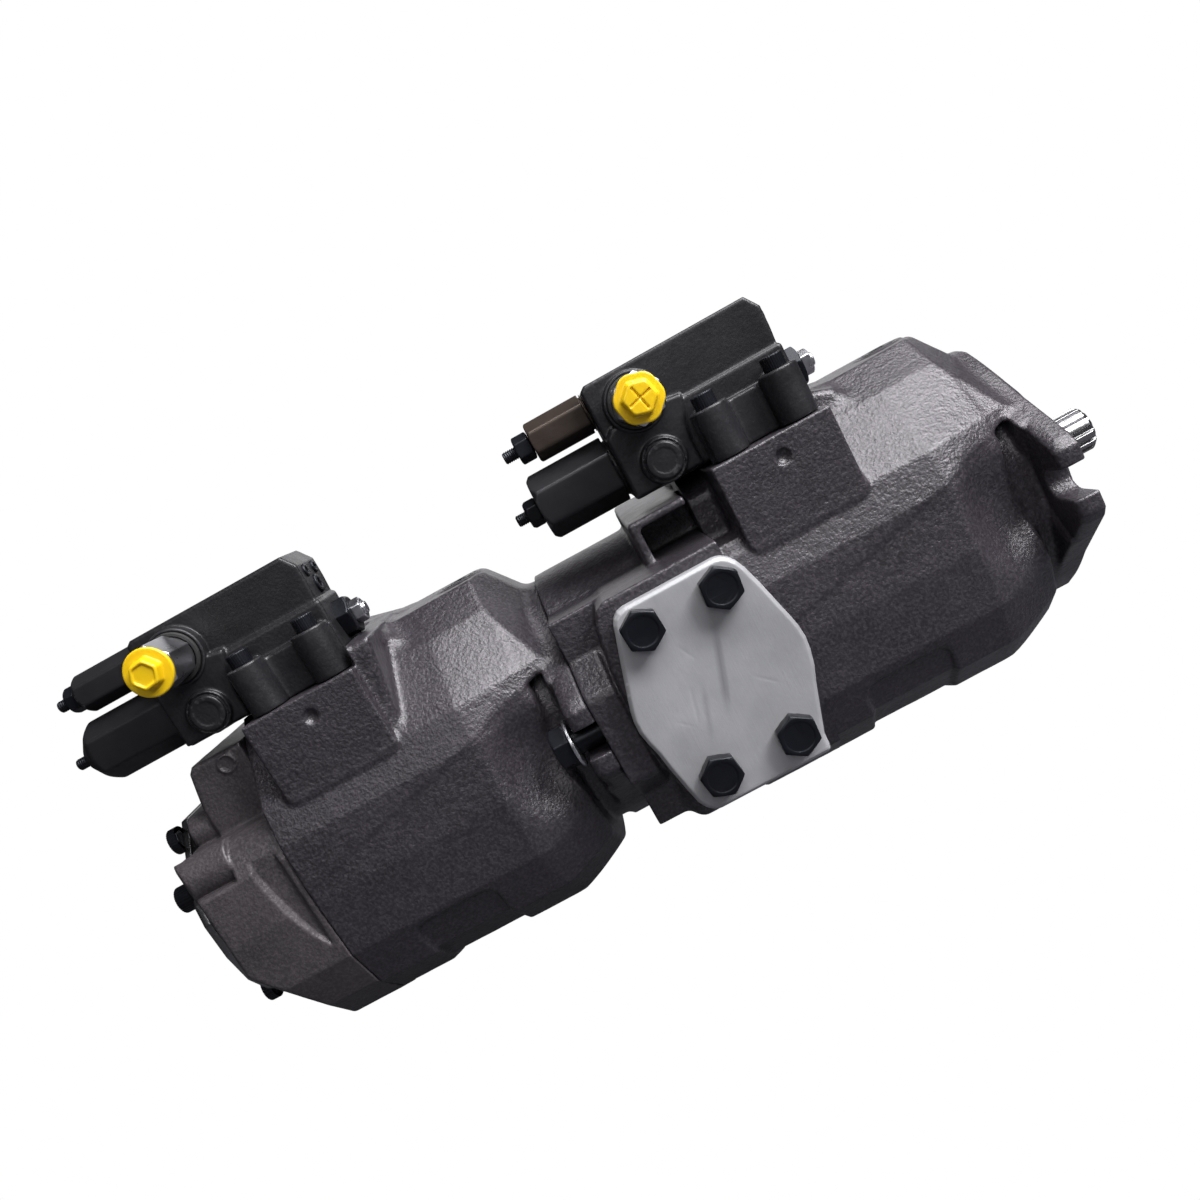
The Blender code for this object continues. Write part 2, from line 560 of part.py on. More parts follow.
def adjusters():
    upper = dict(z=UPPER_Z, cap_r=9.5, hollow_r=6.0, wall=6, screw_in=18, mat=BRONZED)
    lower = dict(z=LOWER_Z, hollow_r=9.0, screw_in=24, mat=CAPS)
    upper_start, lower_start = -168.4, -168.3      # ends of the valve body's two levels
    adjuster("front_flow", start=upper_start - GAP, end=-197.3, taper=None, screw_out=14.2,
             nut_len=7.4, **upper)
    adjuster("front_pressure", start=lower_start - GAP, end=-208.0, cap_r=15.7,
             taper=(2.0, 13.4), wall=7, screw_out=12.0, nut_len=6.4, **lower)
    adjuster("rear_flow", start=REAR_X + upper_start - GAP, end=REAR_X - 205.5,
             taper=(2.5, 7.0), screw_out=11.9, nut_len=5.8, **upper)
    adjuster("rear_pressure", start=REAR_X + lower_start - GAP, end=REAR_X - 219.5, cap_r=15.4,
             taper=(8.8, 5.2), wall=14, screw_out=6.0, nut_len=None, **lower)


# ------------------------------------------------------------------ shafts, bearing
SPLINE_R, SPLINE_ROOT_R = 11.1, 9.5
SPLINE_TEETH = 13
SPLINE_START = 15.0      # inner end of the splined length
# tooth corners: (share of a tooth pitch from the tooth's centre, radius)
TOOTH = ((-0.30, SPLINE_ROOT_R), (-0.17, SPLINE_R), (0.17, SPLINE_R), (0.30, SPLINE_ROOT_R))
# (radius, station): x, or for the rear shaft the distance from the rear flange face
DRIVE_SHAFT_PROFILE = [
    (0, 16), (12.0, 15.0), (12.0, -1), (15.0, -3), (15.0, -28), (12.5, -30), (12.5, -176),
    (11.9, -177), (0, -177)]
REAR_SHAFT_PROFILE = [
    (0, 45.9), (12.0, 45.9), (12.5, 45), (12.5, 6), (15.0, 4), (15.0, -28), (12.5, -30),
    (12.5, -166), (0, -166)]
COUPLING_PROFILE = [
    (12.9, -163), (18.5, -163), (19.5, -164), (19.5, -206), (18.5, -207), (12.9, -207)]
SEAL_PROFILE = [(15.4, -0.8), (23.7, -0.8), (23.7, -8.8), (15.4, -8.8)]
BEARING_PROFILE = [(15.3, -11.0), (28.7, -11.0), (28.7, -23.0), (26.0, -23.7), (15.3, -23.7)]


def drive_shaft():
    teeth = []
    for i in range(SPLINE_TEETH):
        for share, radius in TOOTH:
            angle = 2 * pi * (i + share) / SPLINE_TEETH
            teeth.append((radius * cos(angle), radius * sin(angle)))
    shaft = turned("drive_shaft", "x", ORIGIN, DRIVE_SHAFT_PROFILE, segments=24, mat=STEEL)
    join(shaft, outline("drive_spline", teeth, "yz", ((SHAFT_OUT + SPLINE_START) / 2, 0, 0),
                        SHAFT_OUT - SPLINE_START))
    smooth(shaft, 30)


def shaft_fittings():
    """Rear shaft, coupling between the shafts, and the front seal and bearing."""
    for name, x0, profile, mat in (
            ("rear_shaft", REAR_X, REAR_SHAFT_PROFILE, STEEL),
            ("shaft_coupling", 0, COUPLING_PROFILE, STEEL),
            ("shaft_seal", 0, SEAL_PROFILE, RUBBER),
            ("front_bearing", 0, BEARING_PROFILE, STEEL)):
        smooth(turned(name, "x", (x0, 0, 0), profile, segments=20, mat=mat), 30)


# ------------------------------------------------------------------- rotating groups
BLOCK_R = 45.0
ARM_TIP_X, ARM_TIP_R = 2.0, 4.5     # round end of the swashplate arm, from the pivot
STROKE = 2 * PITCH_R * tan(radians(MAX_TILT))
OPEN_GAP = STROKE + 0.3             # slipper cups to piston heads
SLIPPER_X = PIVOT_X + 4.6           # slipper faces on the swashplate
SLIPPER_LEN = 9.0
BALL_R = 6.0
PISTON_PLACES = [(PITCH_R * cos(a), PITCH_R * sin(a))
                 for a in [2 * pi * i / N_PISTONS for i in range(N_PISTONS)]]
# (radius, station from the flange face)
BLOCK_PROFILE = [(13.0, -84.0), (44.0, -84.0), (BLOCK_R, -85.0), (BLOCK_R, -130.0),
                 (43.0, -136.0), (13.0, -136.0)]
VALVE_PLATE_PROFILE = [(15.5, -136.4), (BLOCK_R, -136.4), (BLOCK_R, -141.1), (15.5, -141.1)]


def swashplate(name, x0):
    """Tilting plate with a round cradle face and an arm up to the control piston."""
    pivot_x = x0 + PIVOT_X
    plate = cyl(name, "x", (pivot_x + 9.0, 0, 0), radius=46.0, length=8.0, segments=28,
                mat=STEEL)
    shoe = box(f"{name}_cradle_shoe", (pivot_x + 6, pivot_x + 34), (-43, 43), (-22.5, 22.5))
    boolean(shoe, "INTERSECT",
            cyl(f"{name}_cradle_round", "y", (pivot_x, 0, 0), CRADLE_R, length=88))
    join(plate,
         shoe,
         box(f"{name}_arm", (pivot_x + 5.4, pivot_x + 12), (-7, 7), (38, ARM_Z + 3.4)),
         cyl(f"{name}_arm_tip", "y", (pivot_x + ARM_TIP_X, 0, ARM_Z), ARM_TIP_R, length=12.6,
             segments=12))
    cut(plate,
        cyl(f"{name}_eye", "x", (pivot_x + 10, 0, 0), radius=21.0, length=90, segments=18),
        box(f"{name}_eye_relief", (pivot_x + 4, pivot_x + 40), (-18, 18), (-24, 24)))
    move_origin(plate, pivot_x, 0, 0)
    smooth(plate, 30)


def cylinder_block(name, x0):
    """Cylinder block with its piston bores and the ports through to the valve face."""
    block = turned(name, "x", (x0, 0, 0), BLOCK_PROFILE, segments=28, mat=STEEL)
    for i, (y, z) in enumerate(PISTON_PLACES):
        cut(block,
            cyl(f"{name}_bore_{i}", "x", (x0 - 105, y, z), PISTON_R + 0.35, length=46,
                segments=12),
            cyl(f"{name}_port_{i}", "x", (x0 - 132, y, z), radius=4.2, length=12, segments=6))
    smooth(block, 30)


def valve_plate(name, x0):
    """Ring with a kidney of three overlapping holes on each side."""
    plate = turned(name, "x", (x0, 0, 0), VALVE_PLATE_PROFILE, segments=22, mat=BRONZE)
    for side, middle_angle, radius in (("low", 180, 6.5), ("high", 0, 5.0)):
        for k in range(3):
            angle = radians(middle_angle + (k - 1) * 26)
            centre = (x0 - 138, PITCH_R * cos(angle), PITCH_R * sin(angle))
            cut(plate, cyl(f"{name}_kidney_{side}_{k}", "x", centre, radius, length=12,
                           segments=8, spin=0.21))


def retainer_plate():
    """Nine slippers held on one retainer plate, against the front swashplate's face."""
    top = SLIPPER_X
    slipper = [(0, top), (10.0, top), (10.0, top - 2.6), (8.4, top - SLIPPER_LEN),
               (0, top - SLIPPER_LEN)]
    cup = [(0, top - 2.8), (4.2, top - 3.6), (6.6, top - 6.5), (7.0, top - 12), (0, top - 12)]
    retainer = turned("front_retainer_plate", "x", ORIGIN,
                      [(22.0, top - 4.0), (44.5, top - 4.0), (44.5, top - 6.6),
                       (22.0, top - 6.6)], segments=20, mat=BRONZE)
    for i, (y, z) in enumerate(PISTON_PLACES):
        join(retainer, turned(f"slipper_{i}", "x", (0, y, z), slipper, segments=9))
    for i, (y, z) in enumerate(PISTON_PLACES):
        cut(retainer, turned(f"slipper_cup_{i}", "x", (0, y, z), cup, segments=10))
    smooth(retainer, 30)


def pistons():
    """Front pistons: ball head, neck and barrel."""
    profile = [(0.0, BALL_R)]
    profile += [(BALL_R * sin(t), BALL_R * cos(t)) for t in (radians(40), radians(85))]
    profile += [(4.0, -5.0), (4.0, -7.5), (PISTON_R, -9.6), (PISTON_R, -37.5), (0, -37.5)]
    ball_x = SLIPPER_X - SLIPPER_LEN - OPEN_GAP
    for i, (y, z) in enumerate(PISTON_PLACES):
        smooth(turned(f"piston_{i + 1}", "x", (ball_x, y, z), profile, segments=12, mat=STEEL),
               40)


def control_piston(name, x0):
    nose_x = x0 + PIVOT_X + ARM_TIP_X - ARM_TIP_R - GAP - 0.3
    smooth(turned(name, "x", (nose_x, 0, ARM_Z),
                  [(0, 0), (5.6, 0), (6.2, -0.8), (6.2, -50), (0, -50)], segments=14,
                  mat=STEEL), 40)


def drain_plug(name, x0):
    """Plug in the crown with a hexagonal socket."""
    x, proud = x0 + DRAIN_X, 1.6
    plug = turned(name, "z", (x, 0, BARREL_TOP),
                  [(0, proud), (8.2, proud), (8.9, 0.9), (8.9, -8.0), (0, -8.0)], segments=14,
                  mat=BLACK_BOLT)
    cut(plug, cyl(f"{name}_socket", "z", (x, 0, BARREL_TOP + proud), radius=4.6, length=8,
                  segments=6))


# --------------------------------------------------------------------------- empties
def empty(name, x, size):
    obj = bpy.data.objects.new(name, None)
    obj.location = (x * MM, 0, 0)
    obj.empty_display_size = size
    PARTS.objects.link(obj)
    return obj


def spin_axis(name, x, children):
    """Hang the pieces of one turning body on an empty on the shaft's axis."""
    axis = empty(name, x, size=0.02)
    bpy.context.view_layer.update()
    for child in children:
        obj = bpy.data.objects[child]
        obj.parent = axis
        obj.matrix_parent_inverse = axis.matrix_world.inverted()


def hang_on_origin():
    """One empty carries every piece and cutter from the flange face to the shaft's end."""
    origin = empty("shaft_end_origin", -SHAFT_OUT, size=0.03)
    for obj in list(bpy.data.objects):
        if obj is not origin and obj.parent is None:
            obj.parent = origin
    bpy.context.view_layer.update()


# ----------------------------------------------------------------------------- build
for pump, face_x in PUMPS:
    housing(f"{pump}_housing", face_x)
middle_port_plate()
rear_port_plate()
rear_cover()
suction_cover()
for side_name, side_sign in SIDES:
    flange_bolt(side_name, side_sign)

for pump, face_x in PUMPS:
    valve_body(pump, face_x)
    spool(f"{pump}_flow_spool", face_x, UPPER_Z, land_r=4.7, neck_r=3.0)
    spool(f"{pump}_pressure_spool", face_x, LOWER_Z, land_r=5.7, neck_r=3.5)
    pilot_fitting(pump, face_x)
adjusters()

drive_shaft()
shaft_fittings()
for pump, face_x in PUMPS:
    swashplate(f"{pump}_swashplate", face_x)
    cylinder_block(f"{pump}_cylinder_block", face_x)
    valve_plate(f"{pump}_valve_plate", face_x)
    control_piston(f"{pump}_control_piston", face_x)
    drain_plug(f"{pump}_drain_plug", face_x)
retainer_plate()
pistons()

spin_axis("front_spin_axis", 0, ["drive_shaft", "shaft_coupling", "front_cylinder_block"]
          + [f"piston_{i + 1}" for i in range(N_PISTONS)])
spin_axis("rear_spin_axis", REAR_X, ["rear_shaft", "rear_cylinder_block"])
hang_on_origin()
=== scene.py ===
"""Looks of the tandem axial piston pump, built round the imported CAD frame.

The shaft lies along X with its splined end at +X, Z is up and the suction side is -Y.
Lengths are in millimetres from the front mounting flange's face; place() turns them into the
frame's metres. Most pieces are distance fields (negative inside) turned into meshes.
"""
import bpy
import bmesh
import json
import math
import numpy as np
from math import sin, cos, pi, radians, sqrt
from mathutils import Matrix, Vector


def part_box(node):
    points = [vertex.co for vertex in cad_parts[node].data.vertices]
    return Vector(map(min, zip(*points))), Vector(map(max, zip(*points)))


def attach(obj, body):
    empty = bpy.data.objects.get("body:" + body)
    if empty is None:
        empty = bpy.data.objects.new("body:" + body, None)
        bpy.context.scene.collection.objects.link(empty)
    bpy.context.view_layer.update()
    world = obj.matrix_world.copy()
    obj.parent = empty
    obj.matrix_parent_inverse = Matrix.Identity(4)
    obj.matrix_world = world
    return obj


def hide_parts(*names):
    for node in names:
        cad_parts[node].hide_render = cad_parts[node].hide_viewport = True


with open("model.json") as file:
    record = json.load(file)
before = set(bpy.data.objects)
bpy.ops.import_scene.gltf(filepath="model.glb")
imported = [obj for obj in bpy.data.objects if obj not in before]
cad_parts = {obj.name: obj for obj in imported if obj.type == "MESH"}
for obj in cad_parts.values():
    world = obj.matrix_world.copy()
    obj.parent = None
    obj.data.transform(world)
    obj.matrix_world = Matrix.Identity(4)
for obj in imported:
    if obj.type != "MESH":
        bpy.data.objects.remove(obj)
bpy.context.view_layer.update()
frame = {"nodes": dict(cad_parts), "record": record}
NODES = frame["nodes"]
MM = 0.001
SIDES = (-1, 1)
CORNERS = [(i, j) for i in SIDES for j in SIDES]

# driving places, partly read from the CAD
PILOT_X = 9.5                                       # end of the pilot ring before the flange
FLANGE_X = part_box("front_housing")[1].x / MM - PILOT_X
REAR_X = (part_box("rear_housing")[1].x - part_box("front_housing")[1].x) / MM  # rear flange face
SHAFT_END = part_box("drive_shaft")[1].x / MM - FLANGE_X
PUMPS = {"front": 0.0, "rear": REAR_X}
JOINT = -149.0                                      # housing's joint to its port plate
SPIGOT_X, SPIGOT_RADIUS = -141.8, 57.0
PORT_X = -174.7
REAR_PORT_X = REAR_X + PORT_X
REAR_JOINT = -378.3
REAR_END = -431.0
COVER_BOLT_X, COVER_BOLT_Z = 17.85, 34.95           # half pitches of the suction cover's bolts
FLANGE_BOLT_Y = 73
DRAIN_X = -33.0
VALVE_Y, UPPER_Z, LOWER_Z = -36.0, 120.9, 93.8      # axes of the valves' adjusters
PLATE_SCALE = 0.955                                 # outlines shrink before they are grown round


def place(points):
    """Millimetres from the flange face to the frame's metres."""
    points = np.asarray(points, np.float64).reshape(-1, 3)
    out = points * MM
    out[:, 0] += FLANGE_X * MM
    return out


# ------------------------------------------------------------------ distance fields
def join(a, b, blend):
    share = np.clip(0.5 + 0.5 * (b - a) / blend, 0, 1)
    return b + (a - b) * share - blend * share * (1 - share)


def meet(a, b, blend):
    return -join(-a, -b, blend)


def cut(a, b, blend):
    return meet(a, -b, blend)


def round_and(a, b, edge):
    """Both a and b, with a round edge where they meet."""
    a = a + edge
    b = b + edge
    outside = np.sqrt(np.maximum(a, 0) ** 2 + np.maximum(b, 0) ** 2)
    return np.minimum(np.maximum(a, b), 0) + outside - edge


def slab(along, span):
    low, high = span
    return np.abs(along - (low + high) / 2) - (high - low) / 2


def extrude(section, along, span, edge):
    return round_and(section, slab(along, span), edge)


def box(x, y, z, x_span, y_span, z_span, edge):
    a, b, c = slab(x, x_span) + edge, slab(y, y_span) + edge, slab(z, z_span) + edge
    outside = np.sqrt(np.maximum(a, 0) ** 2 + np.maximum(b, 0) ** 2 + np.maximum(c, 0) ** 2)
    return outside + np.minimum(np.maximum(np.maximum(a, b), c), 0) - edge


def rect(a, b, a_span, b_span, edge):
    return round_and(slab(a, a_span), slab(b, b_span), edge)


def poly(a, b, outline):
    """Distance to a closed outline."""
    points = [(float(p), float(q)) for p, q in outline]
    squared = np.inf
    inside = False
    for i, (pa, pb) in enumerate(points):
        qa, qb = points[i - 1]
        edge_a, edge_b = qa - pa, qb - pb
        off_a, off_b = a - pa, b - pb
        share = np.clip((off_a * edge_a + off_b * edge_b)
                        / (edge_a * edge_a + edge_b * edge_b + 1e-12), 0, 1)
        gap_a, gap_b = off_a - edge_a * share, off_b - edge_b * share
        squared = np.minimum(squared, gap_a * gap_a + gap_b * gap_b)
        above, below, left = b >= pb, b < qb, edge_a * off_b > edge_b * off_a
        inside = inside ^ ((above & below & left) | (~above & ~below & ~left))
    return np.where(inside, -1.0, 1.0).astype(np.float32) * np.sqrt(squared)


def radial(a, b, centre=(0, 0)):
    return np.sqrt((a - centre[0]) ** 2 + (b - centre[1]) ** 2)


def angle(a, b, centre=(0, 0)):
    return np.arctan2(b - centre[1], a - centre[0])


def rod(a, b, along, centre, radius, span, edge):
    return extrude(radial(a, b, centre) - radius, along, span, edge)


def hex_bar(a, b, centre, flats, turn=0.0, blend=0.5):
    """Hexagon section, flats across, turned from a flat on +a."""
    sides = []
    for i in range(6):
        t = turn + i * pi / 3
        sides.append((a - centre[0]) * cos(t) + (b - centre[1]) * sin(t) - flats / 2)
    bar = sides[0]
    for side in sides[1:]:
        bar = meet(bar, side, blend)
    return bar


def capped(bar, r, along, span, low_slope, high_slope, rim):
    """Bar between two faces, its corners chamfered by cones of radius rim at each face."""
    low, high = span
    solid = extrude(bar, along, span, 0.35)
    for slope, depth in ((low_slope, along - low), (high_slope, high - along)):
        if slope is not None:
            solid = meet(solid, ((r - rim) - depth * slope) / sqrt(1 + slope * slope), 0.3)
    return solid


def knurled(a, b, centre, radius, height, count):
    return radial(a, b, centre) - (radius + height * np.cos(count * angle(a, b, centre)))


def zigzag(turns):
    """1 at whole turns, 0 half way between: a thread's flanks."""
    return np.abs(turns - np.floor(turns) - 0.5) * 2


def mirrored(half):
    """Closed outline from its -Y half."""
    return half + [(-y, z) for y, z in reversed(half)]


def scaled(outline):
    return [(y * PLATE_SCALE, z * PLATE_SCALE) for y, z in outline]


def about(centre, half):
    return centre - half, centre + half


# ------------------------------------------------------------------ meshing
LATTICE_SIZE = 24
LATTICE = np.random.default_rng(11).random((LATTICE_SIZE,) * 3).astype(np.float32) * 2 - 1


def noise3(points, scale):
    cells = points / scale
    low = np.floor(cells).astype(int)
    share = (cells - low).astype(np.float32)
    share = share * share * (3 - 2 * share)
    low %= LATTICE_SIZE
    x0, y0, z0 = low.T
    x1, y1, z1 = ((low + 1) % LATTICE_SIZE).T
    share_x, share_y, share_z = share.T

    def mixed(a, b, t):
        return a * (1 - t) + b * t

    def level(z):
        return mixed(mixed(LATTICE[x0, y0, z], LATTICE[x1, y0, z], share_x),
                     mixed(LATTICE[x0, y1, z], LATTICE[x1, y1, z], share_x), share_y)
    return mixed(level(z0), level(z1), share_z)


def nets(field, spans, step):
    """Points, quads and normals of a field's zero surface, with each point pulled onto it."""
    axes = [np.arange(low, high + step, step, dtype=np.float32) for low, high in spans]
    values = np.ascontiguousarray(np.broadcast_to(
        field(axes[0][:, None, None], axes[1][None, :, None], axes[2][None, None, :]),
        tuple(len(a) for a in axes))).astype(np.float32)
    solid = values < 0
    corners = [(i, j, k) for i in (0, 1) for j in (0, 1) for k in (0, 1)]
    count = np.zeros(tuple(len(a) - 1 for a in axes), np.uint8)
    nx, ny, nz = count.shape
    for i, j, k in corners:
        count += solid[i:nx + i, j:ny + j, k:nz + k]
    active = (count > 0) & (count < 8)
    cells = np.argwhere(active)
    index = np.full(count.shape, -1, np.int32)
    index[active] = np.arange(len(cells))

    # each crossed cell gets the mean of the crossings on its edges
    points = np.zeros((len(cells), 3), np.float64)
    crossings = np.zeros(len(cells))
    for start in corners:
        for axis in range(3):
            if start[axis]:
                continue
            end = list(start)
            end[axis] = 1
            at_start = values[tuple((cells + start).T)]
            at_end = values[tuple((cells + end).T)]
            crossed = (at_start < 0) != (at_end < 0)
            share = np.where(crossed, at_start / (at_start - at_end + 1e-20), 0)
            crossing = np.array(start, float)[None, :].repeat(len(cells), 0)
            crossing[:, axis] += share
            points[crossed] += crossing[crossed]
            crossings[crossed] += 1
    points = (points / crossings[:, None] + cells) * step + np.array([s[0] for s in spans], float)

    # one quad round each crossed grid edge
    quads = []
    for axis in range(3):
        side_1, side_2 = [(1, 2), (2, 0), (0, 1)][axis]
        first = [slice(1, -1)] * 3
        second = [slice(1, -1)] * 3
        first[axis] = slice(0, -1)
        second[axis] = slice(1, None)
        base = np.argwhere(solid[tuple(first)] != solid[tuple(second)])
        base[:, side_1] += 1
        base[:, side_2] += 1

        def cell(shift_1, shift_2):
            near = base.copy()
            near[:, side_1] += shift_1
            near[:, side_2] += shift_2
            return index[tuple(near.T)]
        quad = np.stack([cell(-1, -1), cell(0, -1), cell(0, 0), cell(-1, 0)], 1)
        outward = solid[tuple(base.T)]
        quad[~outward] = quad[~outward][:, ::-1]
        quads.append(quad)

    def at(where):
        return field(*(where[:, k].astype(np.float32) for k in range(3))).astype(float)
    probe = step * 0.25
    shifts = np.eye(3) * probe
    for _ in range(3):
        distance = at(points)
        slope = np.stack([(at(points + s) - at(points - s)) / (2 * probe) for s in shifts], 1)
        steepness = np.maximum((slope ** 2).sum(1), 0.15)
        move = np.clip(distance / steepness, -0.6 * step, 0.6 * step)
        points -= move[:, None] * slope * 0.9
    return points, np.concatenate(quads), slope / np.sqrt(steepness)[:, None]


def raw_mesh(name, points, quads):
    mesh = bpy.data.meshes.new(name)
    mesh.vertices.add(len(points))
    mesh.vertices.foreach_set("co", np.asarray(points, np.float32).ravel())
    mesh.loops.add(quads.size)
    mesh.loops.foreach_set("vertex_index", np.asarray(quads, np.int32).ravel())
    mesh.polygons.add(len(quads))
    mesh.polygons.foreach_set("loop_start", np.arange(0, quads.size, 4, dtype=np.int32))
    mesh.update(calc_edges=True)
    mesh.validate()
    return mesh


def add(name, mesh, slot, mat, body, replaces):
    obj = bpy.data.objects.new(name, mesh)
    bpy.context.scene.collection.objects.link(obj)
    mesh.materials.append(mat or MATERIALS[slot])
    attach(obj, body)
    if replaces:
        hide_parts(*replaces)
    return obj


def bevel(obj, width, limit):
    mod = obj.modifiers.new("edge", "BEVEL")
    mod.width = width
    mod.segments = 2
    mod.limit_method = "ANGLE"
    mod.angle_limit = radians(limit)


def cast(name, field, spans, step, slot, mat=None, replaces=(), body="casing", rough=0.0,
         mask=None, keep=0.6, origin=0.0):
    """A piece from a distance field; field and spans count x from origin.

    rough is the height of its sand-cast unevenness, keep the share of faces left by thinning.
    """
    spans = [tuple(origin + x for x in spans[0]), *spans[1:]]
    points, quads, normals = nets(lambda x, y, z: field(x - origin, y, z), spans, step)
    if rough:
        height = rough * (noise3(points, 1.9) * 0.16 + noise3(points + 40, 7.0) * 0.30
                          + noise3(points + 90, 26.0) * 0.8)
        if mask is not None:
            height = height * mask(points[:, 0], points[:, 1])
        points = points + normals * height[:, None]
    raw = bpy.data.objects.new(name + "_raw", raw_mesh(name, place(points), quads))
    bpy.context.scene.collection.objects.link(raw)
    raw.modifiers.new("thin", "DECIMATE").ratio = keep
    graph = bpy.context.evaluated_depsgraph_get()
    graph.update()
    mesh = bpy.data.meshes.new_from_object(raw.evaluated_get(graph))
    bpy.data.objects.remove(raw)
    mesh.name = name
    mesh.shade_smooth()
    return add(name, mesh, slot, mat, body, replaces)


def small(name, field, spans, step, slot, **options):
    return cast(name, field, spans, step * (1.0), slot, **options)


def lathe(name, profile, axis, centre, segments, slot, mat=None, replaces=(), body="casing"):
    """A turned ring from a closed (radius, station) outline round axis 'x' or 'y'."""
    count = len(profile)
    points, quads = [], []
    for i in range(segments):
        t = 2 * pi * i / segments
        for radius, station in profile:
            if axis == "x":
                points.append((station, centre[0] + radius * cos(t), centre[1] + radius * sin(t)))
            else:
                points.append((centre[0] + radius * sin(t), station, centre[1] + radius * cos(t)))
    for i in range(segments):
        here, there = i * count, ((i + 1) % segments) * count
        for k in range(count):
            after = (k + 1) % count
            quads.append((here + k, here + after, there + after, there + k))
    mesh = raw_mesh(name, place(points), np.array(quads))
    edit = bmesh.new()
    edit.from_mesh(mesh)
    bmesh.ops.remove_doubles(edit, verts=edit.verts, dist=1e-6)
    bmesh.ops.recalc_face_normals(edit, faces=edit.faces)
    edit.to_mesh(mesh)
    edit.free()
    mesh.shade_smooth()
    mesh.set_sharp_from_angle(angle=radians(32))
    bevel(add(name, mesh, slot, mat, body, replaces), 0.00035, 30)


# ------------------------------------------------------------------------ materials
class Shader:
    """Short calls for the nodes of one material; an input takes a socket or a value."""

    def __init__(self, mat):
        self.nodes = mat.node_tree.nodes
        self.links = mat.node_tree.links
        self.surface = self.nodes["Principled BSDF"].inputs
        self.coords = self.new("ShaderNodeTexCoord").outputs["Object"]

    def new(self, kind):
        return self.nodes.new(kind)

    def feed(self, socket, value):
        if isinstance(value, bpy.types.NodeSocket):
            self.links.new(value, socket)
        else:
            socket.default_value = (*value, 1) if isinstance(value, tuple) else value

    def noise(self, scale, detail=3.0, roughness=0.55, vector=None):
        node = self.new("ShaderNodeTexNoise")
        node.inputs["Scale"].default_value = scale
        node.inputs["Detail"].default_value = detail
        node.inputs["Roughness"].default_value = roughness
        self.links.new(vector or self.coords, node.inputs["Vector"])
        return node.outputs["Fac"]

    def ramp(self, factor, low, high, low_colour=(0, 0, 0), high_colour=(1, 1, 1)):
        node = self.new("ShaderNodeValToRGB")
        stops = node.color_ramp.elements
        stops[0].position = low
        stops[1].position = high
        stops[0].color = (*low_colour, 1)
        stops[1].color = (*high_colour, 1)
        self.links.new(factor, node.inputs["Fac"])
        return node.outputs["Color"]

    def mix(self, factor, a, b):
        node = self.new("ShaderNodeMix")
        node.data_type = "RGBA"
        for i, value in ((0, factor), (6, a), (7, b)):
            self.feed(node.inputs[i], value)
        return node.outputs[2]

    def math(self, operation, *values, clamp=False):
        node = self.new("ShaderNodeMath")
        node.operation = operation
        node.use_clamp = clamp
        for socket, value in zip(node.inputs, values):
            self.feed(socket, value)
        return node.outputs[0]

    def bump(self, height, strength, distance, normal=None):
        node = self.new("ShaderNodeBump")
        node.inputs["Strength"].default_value = strength
        node.inputs["Distance"].default_value = distance
        self.links.new(height, node.inputs["Height"])
        if normal:
            self.links.new(normal, node.inputs["Normal"])
        return node.outputs["Normal"]


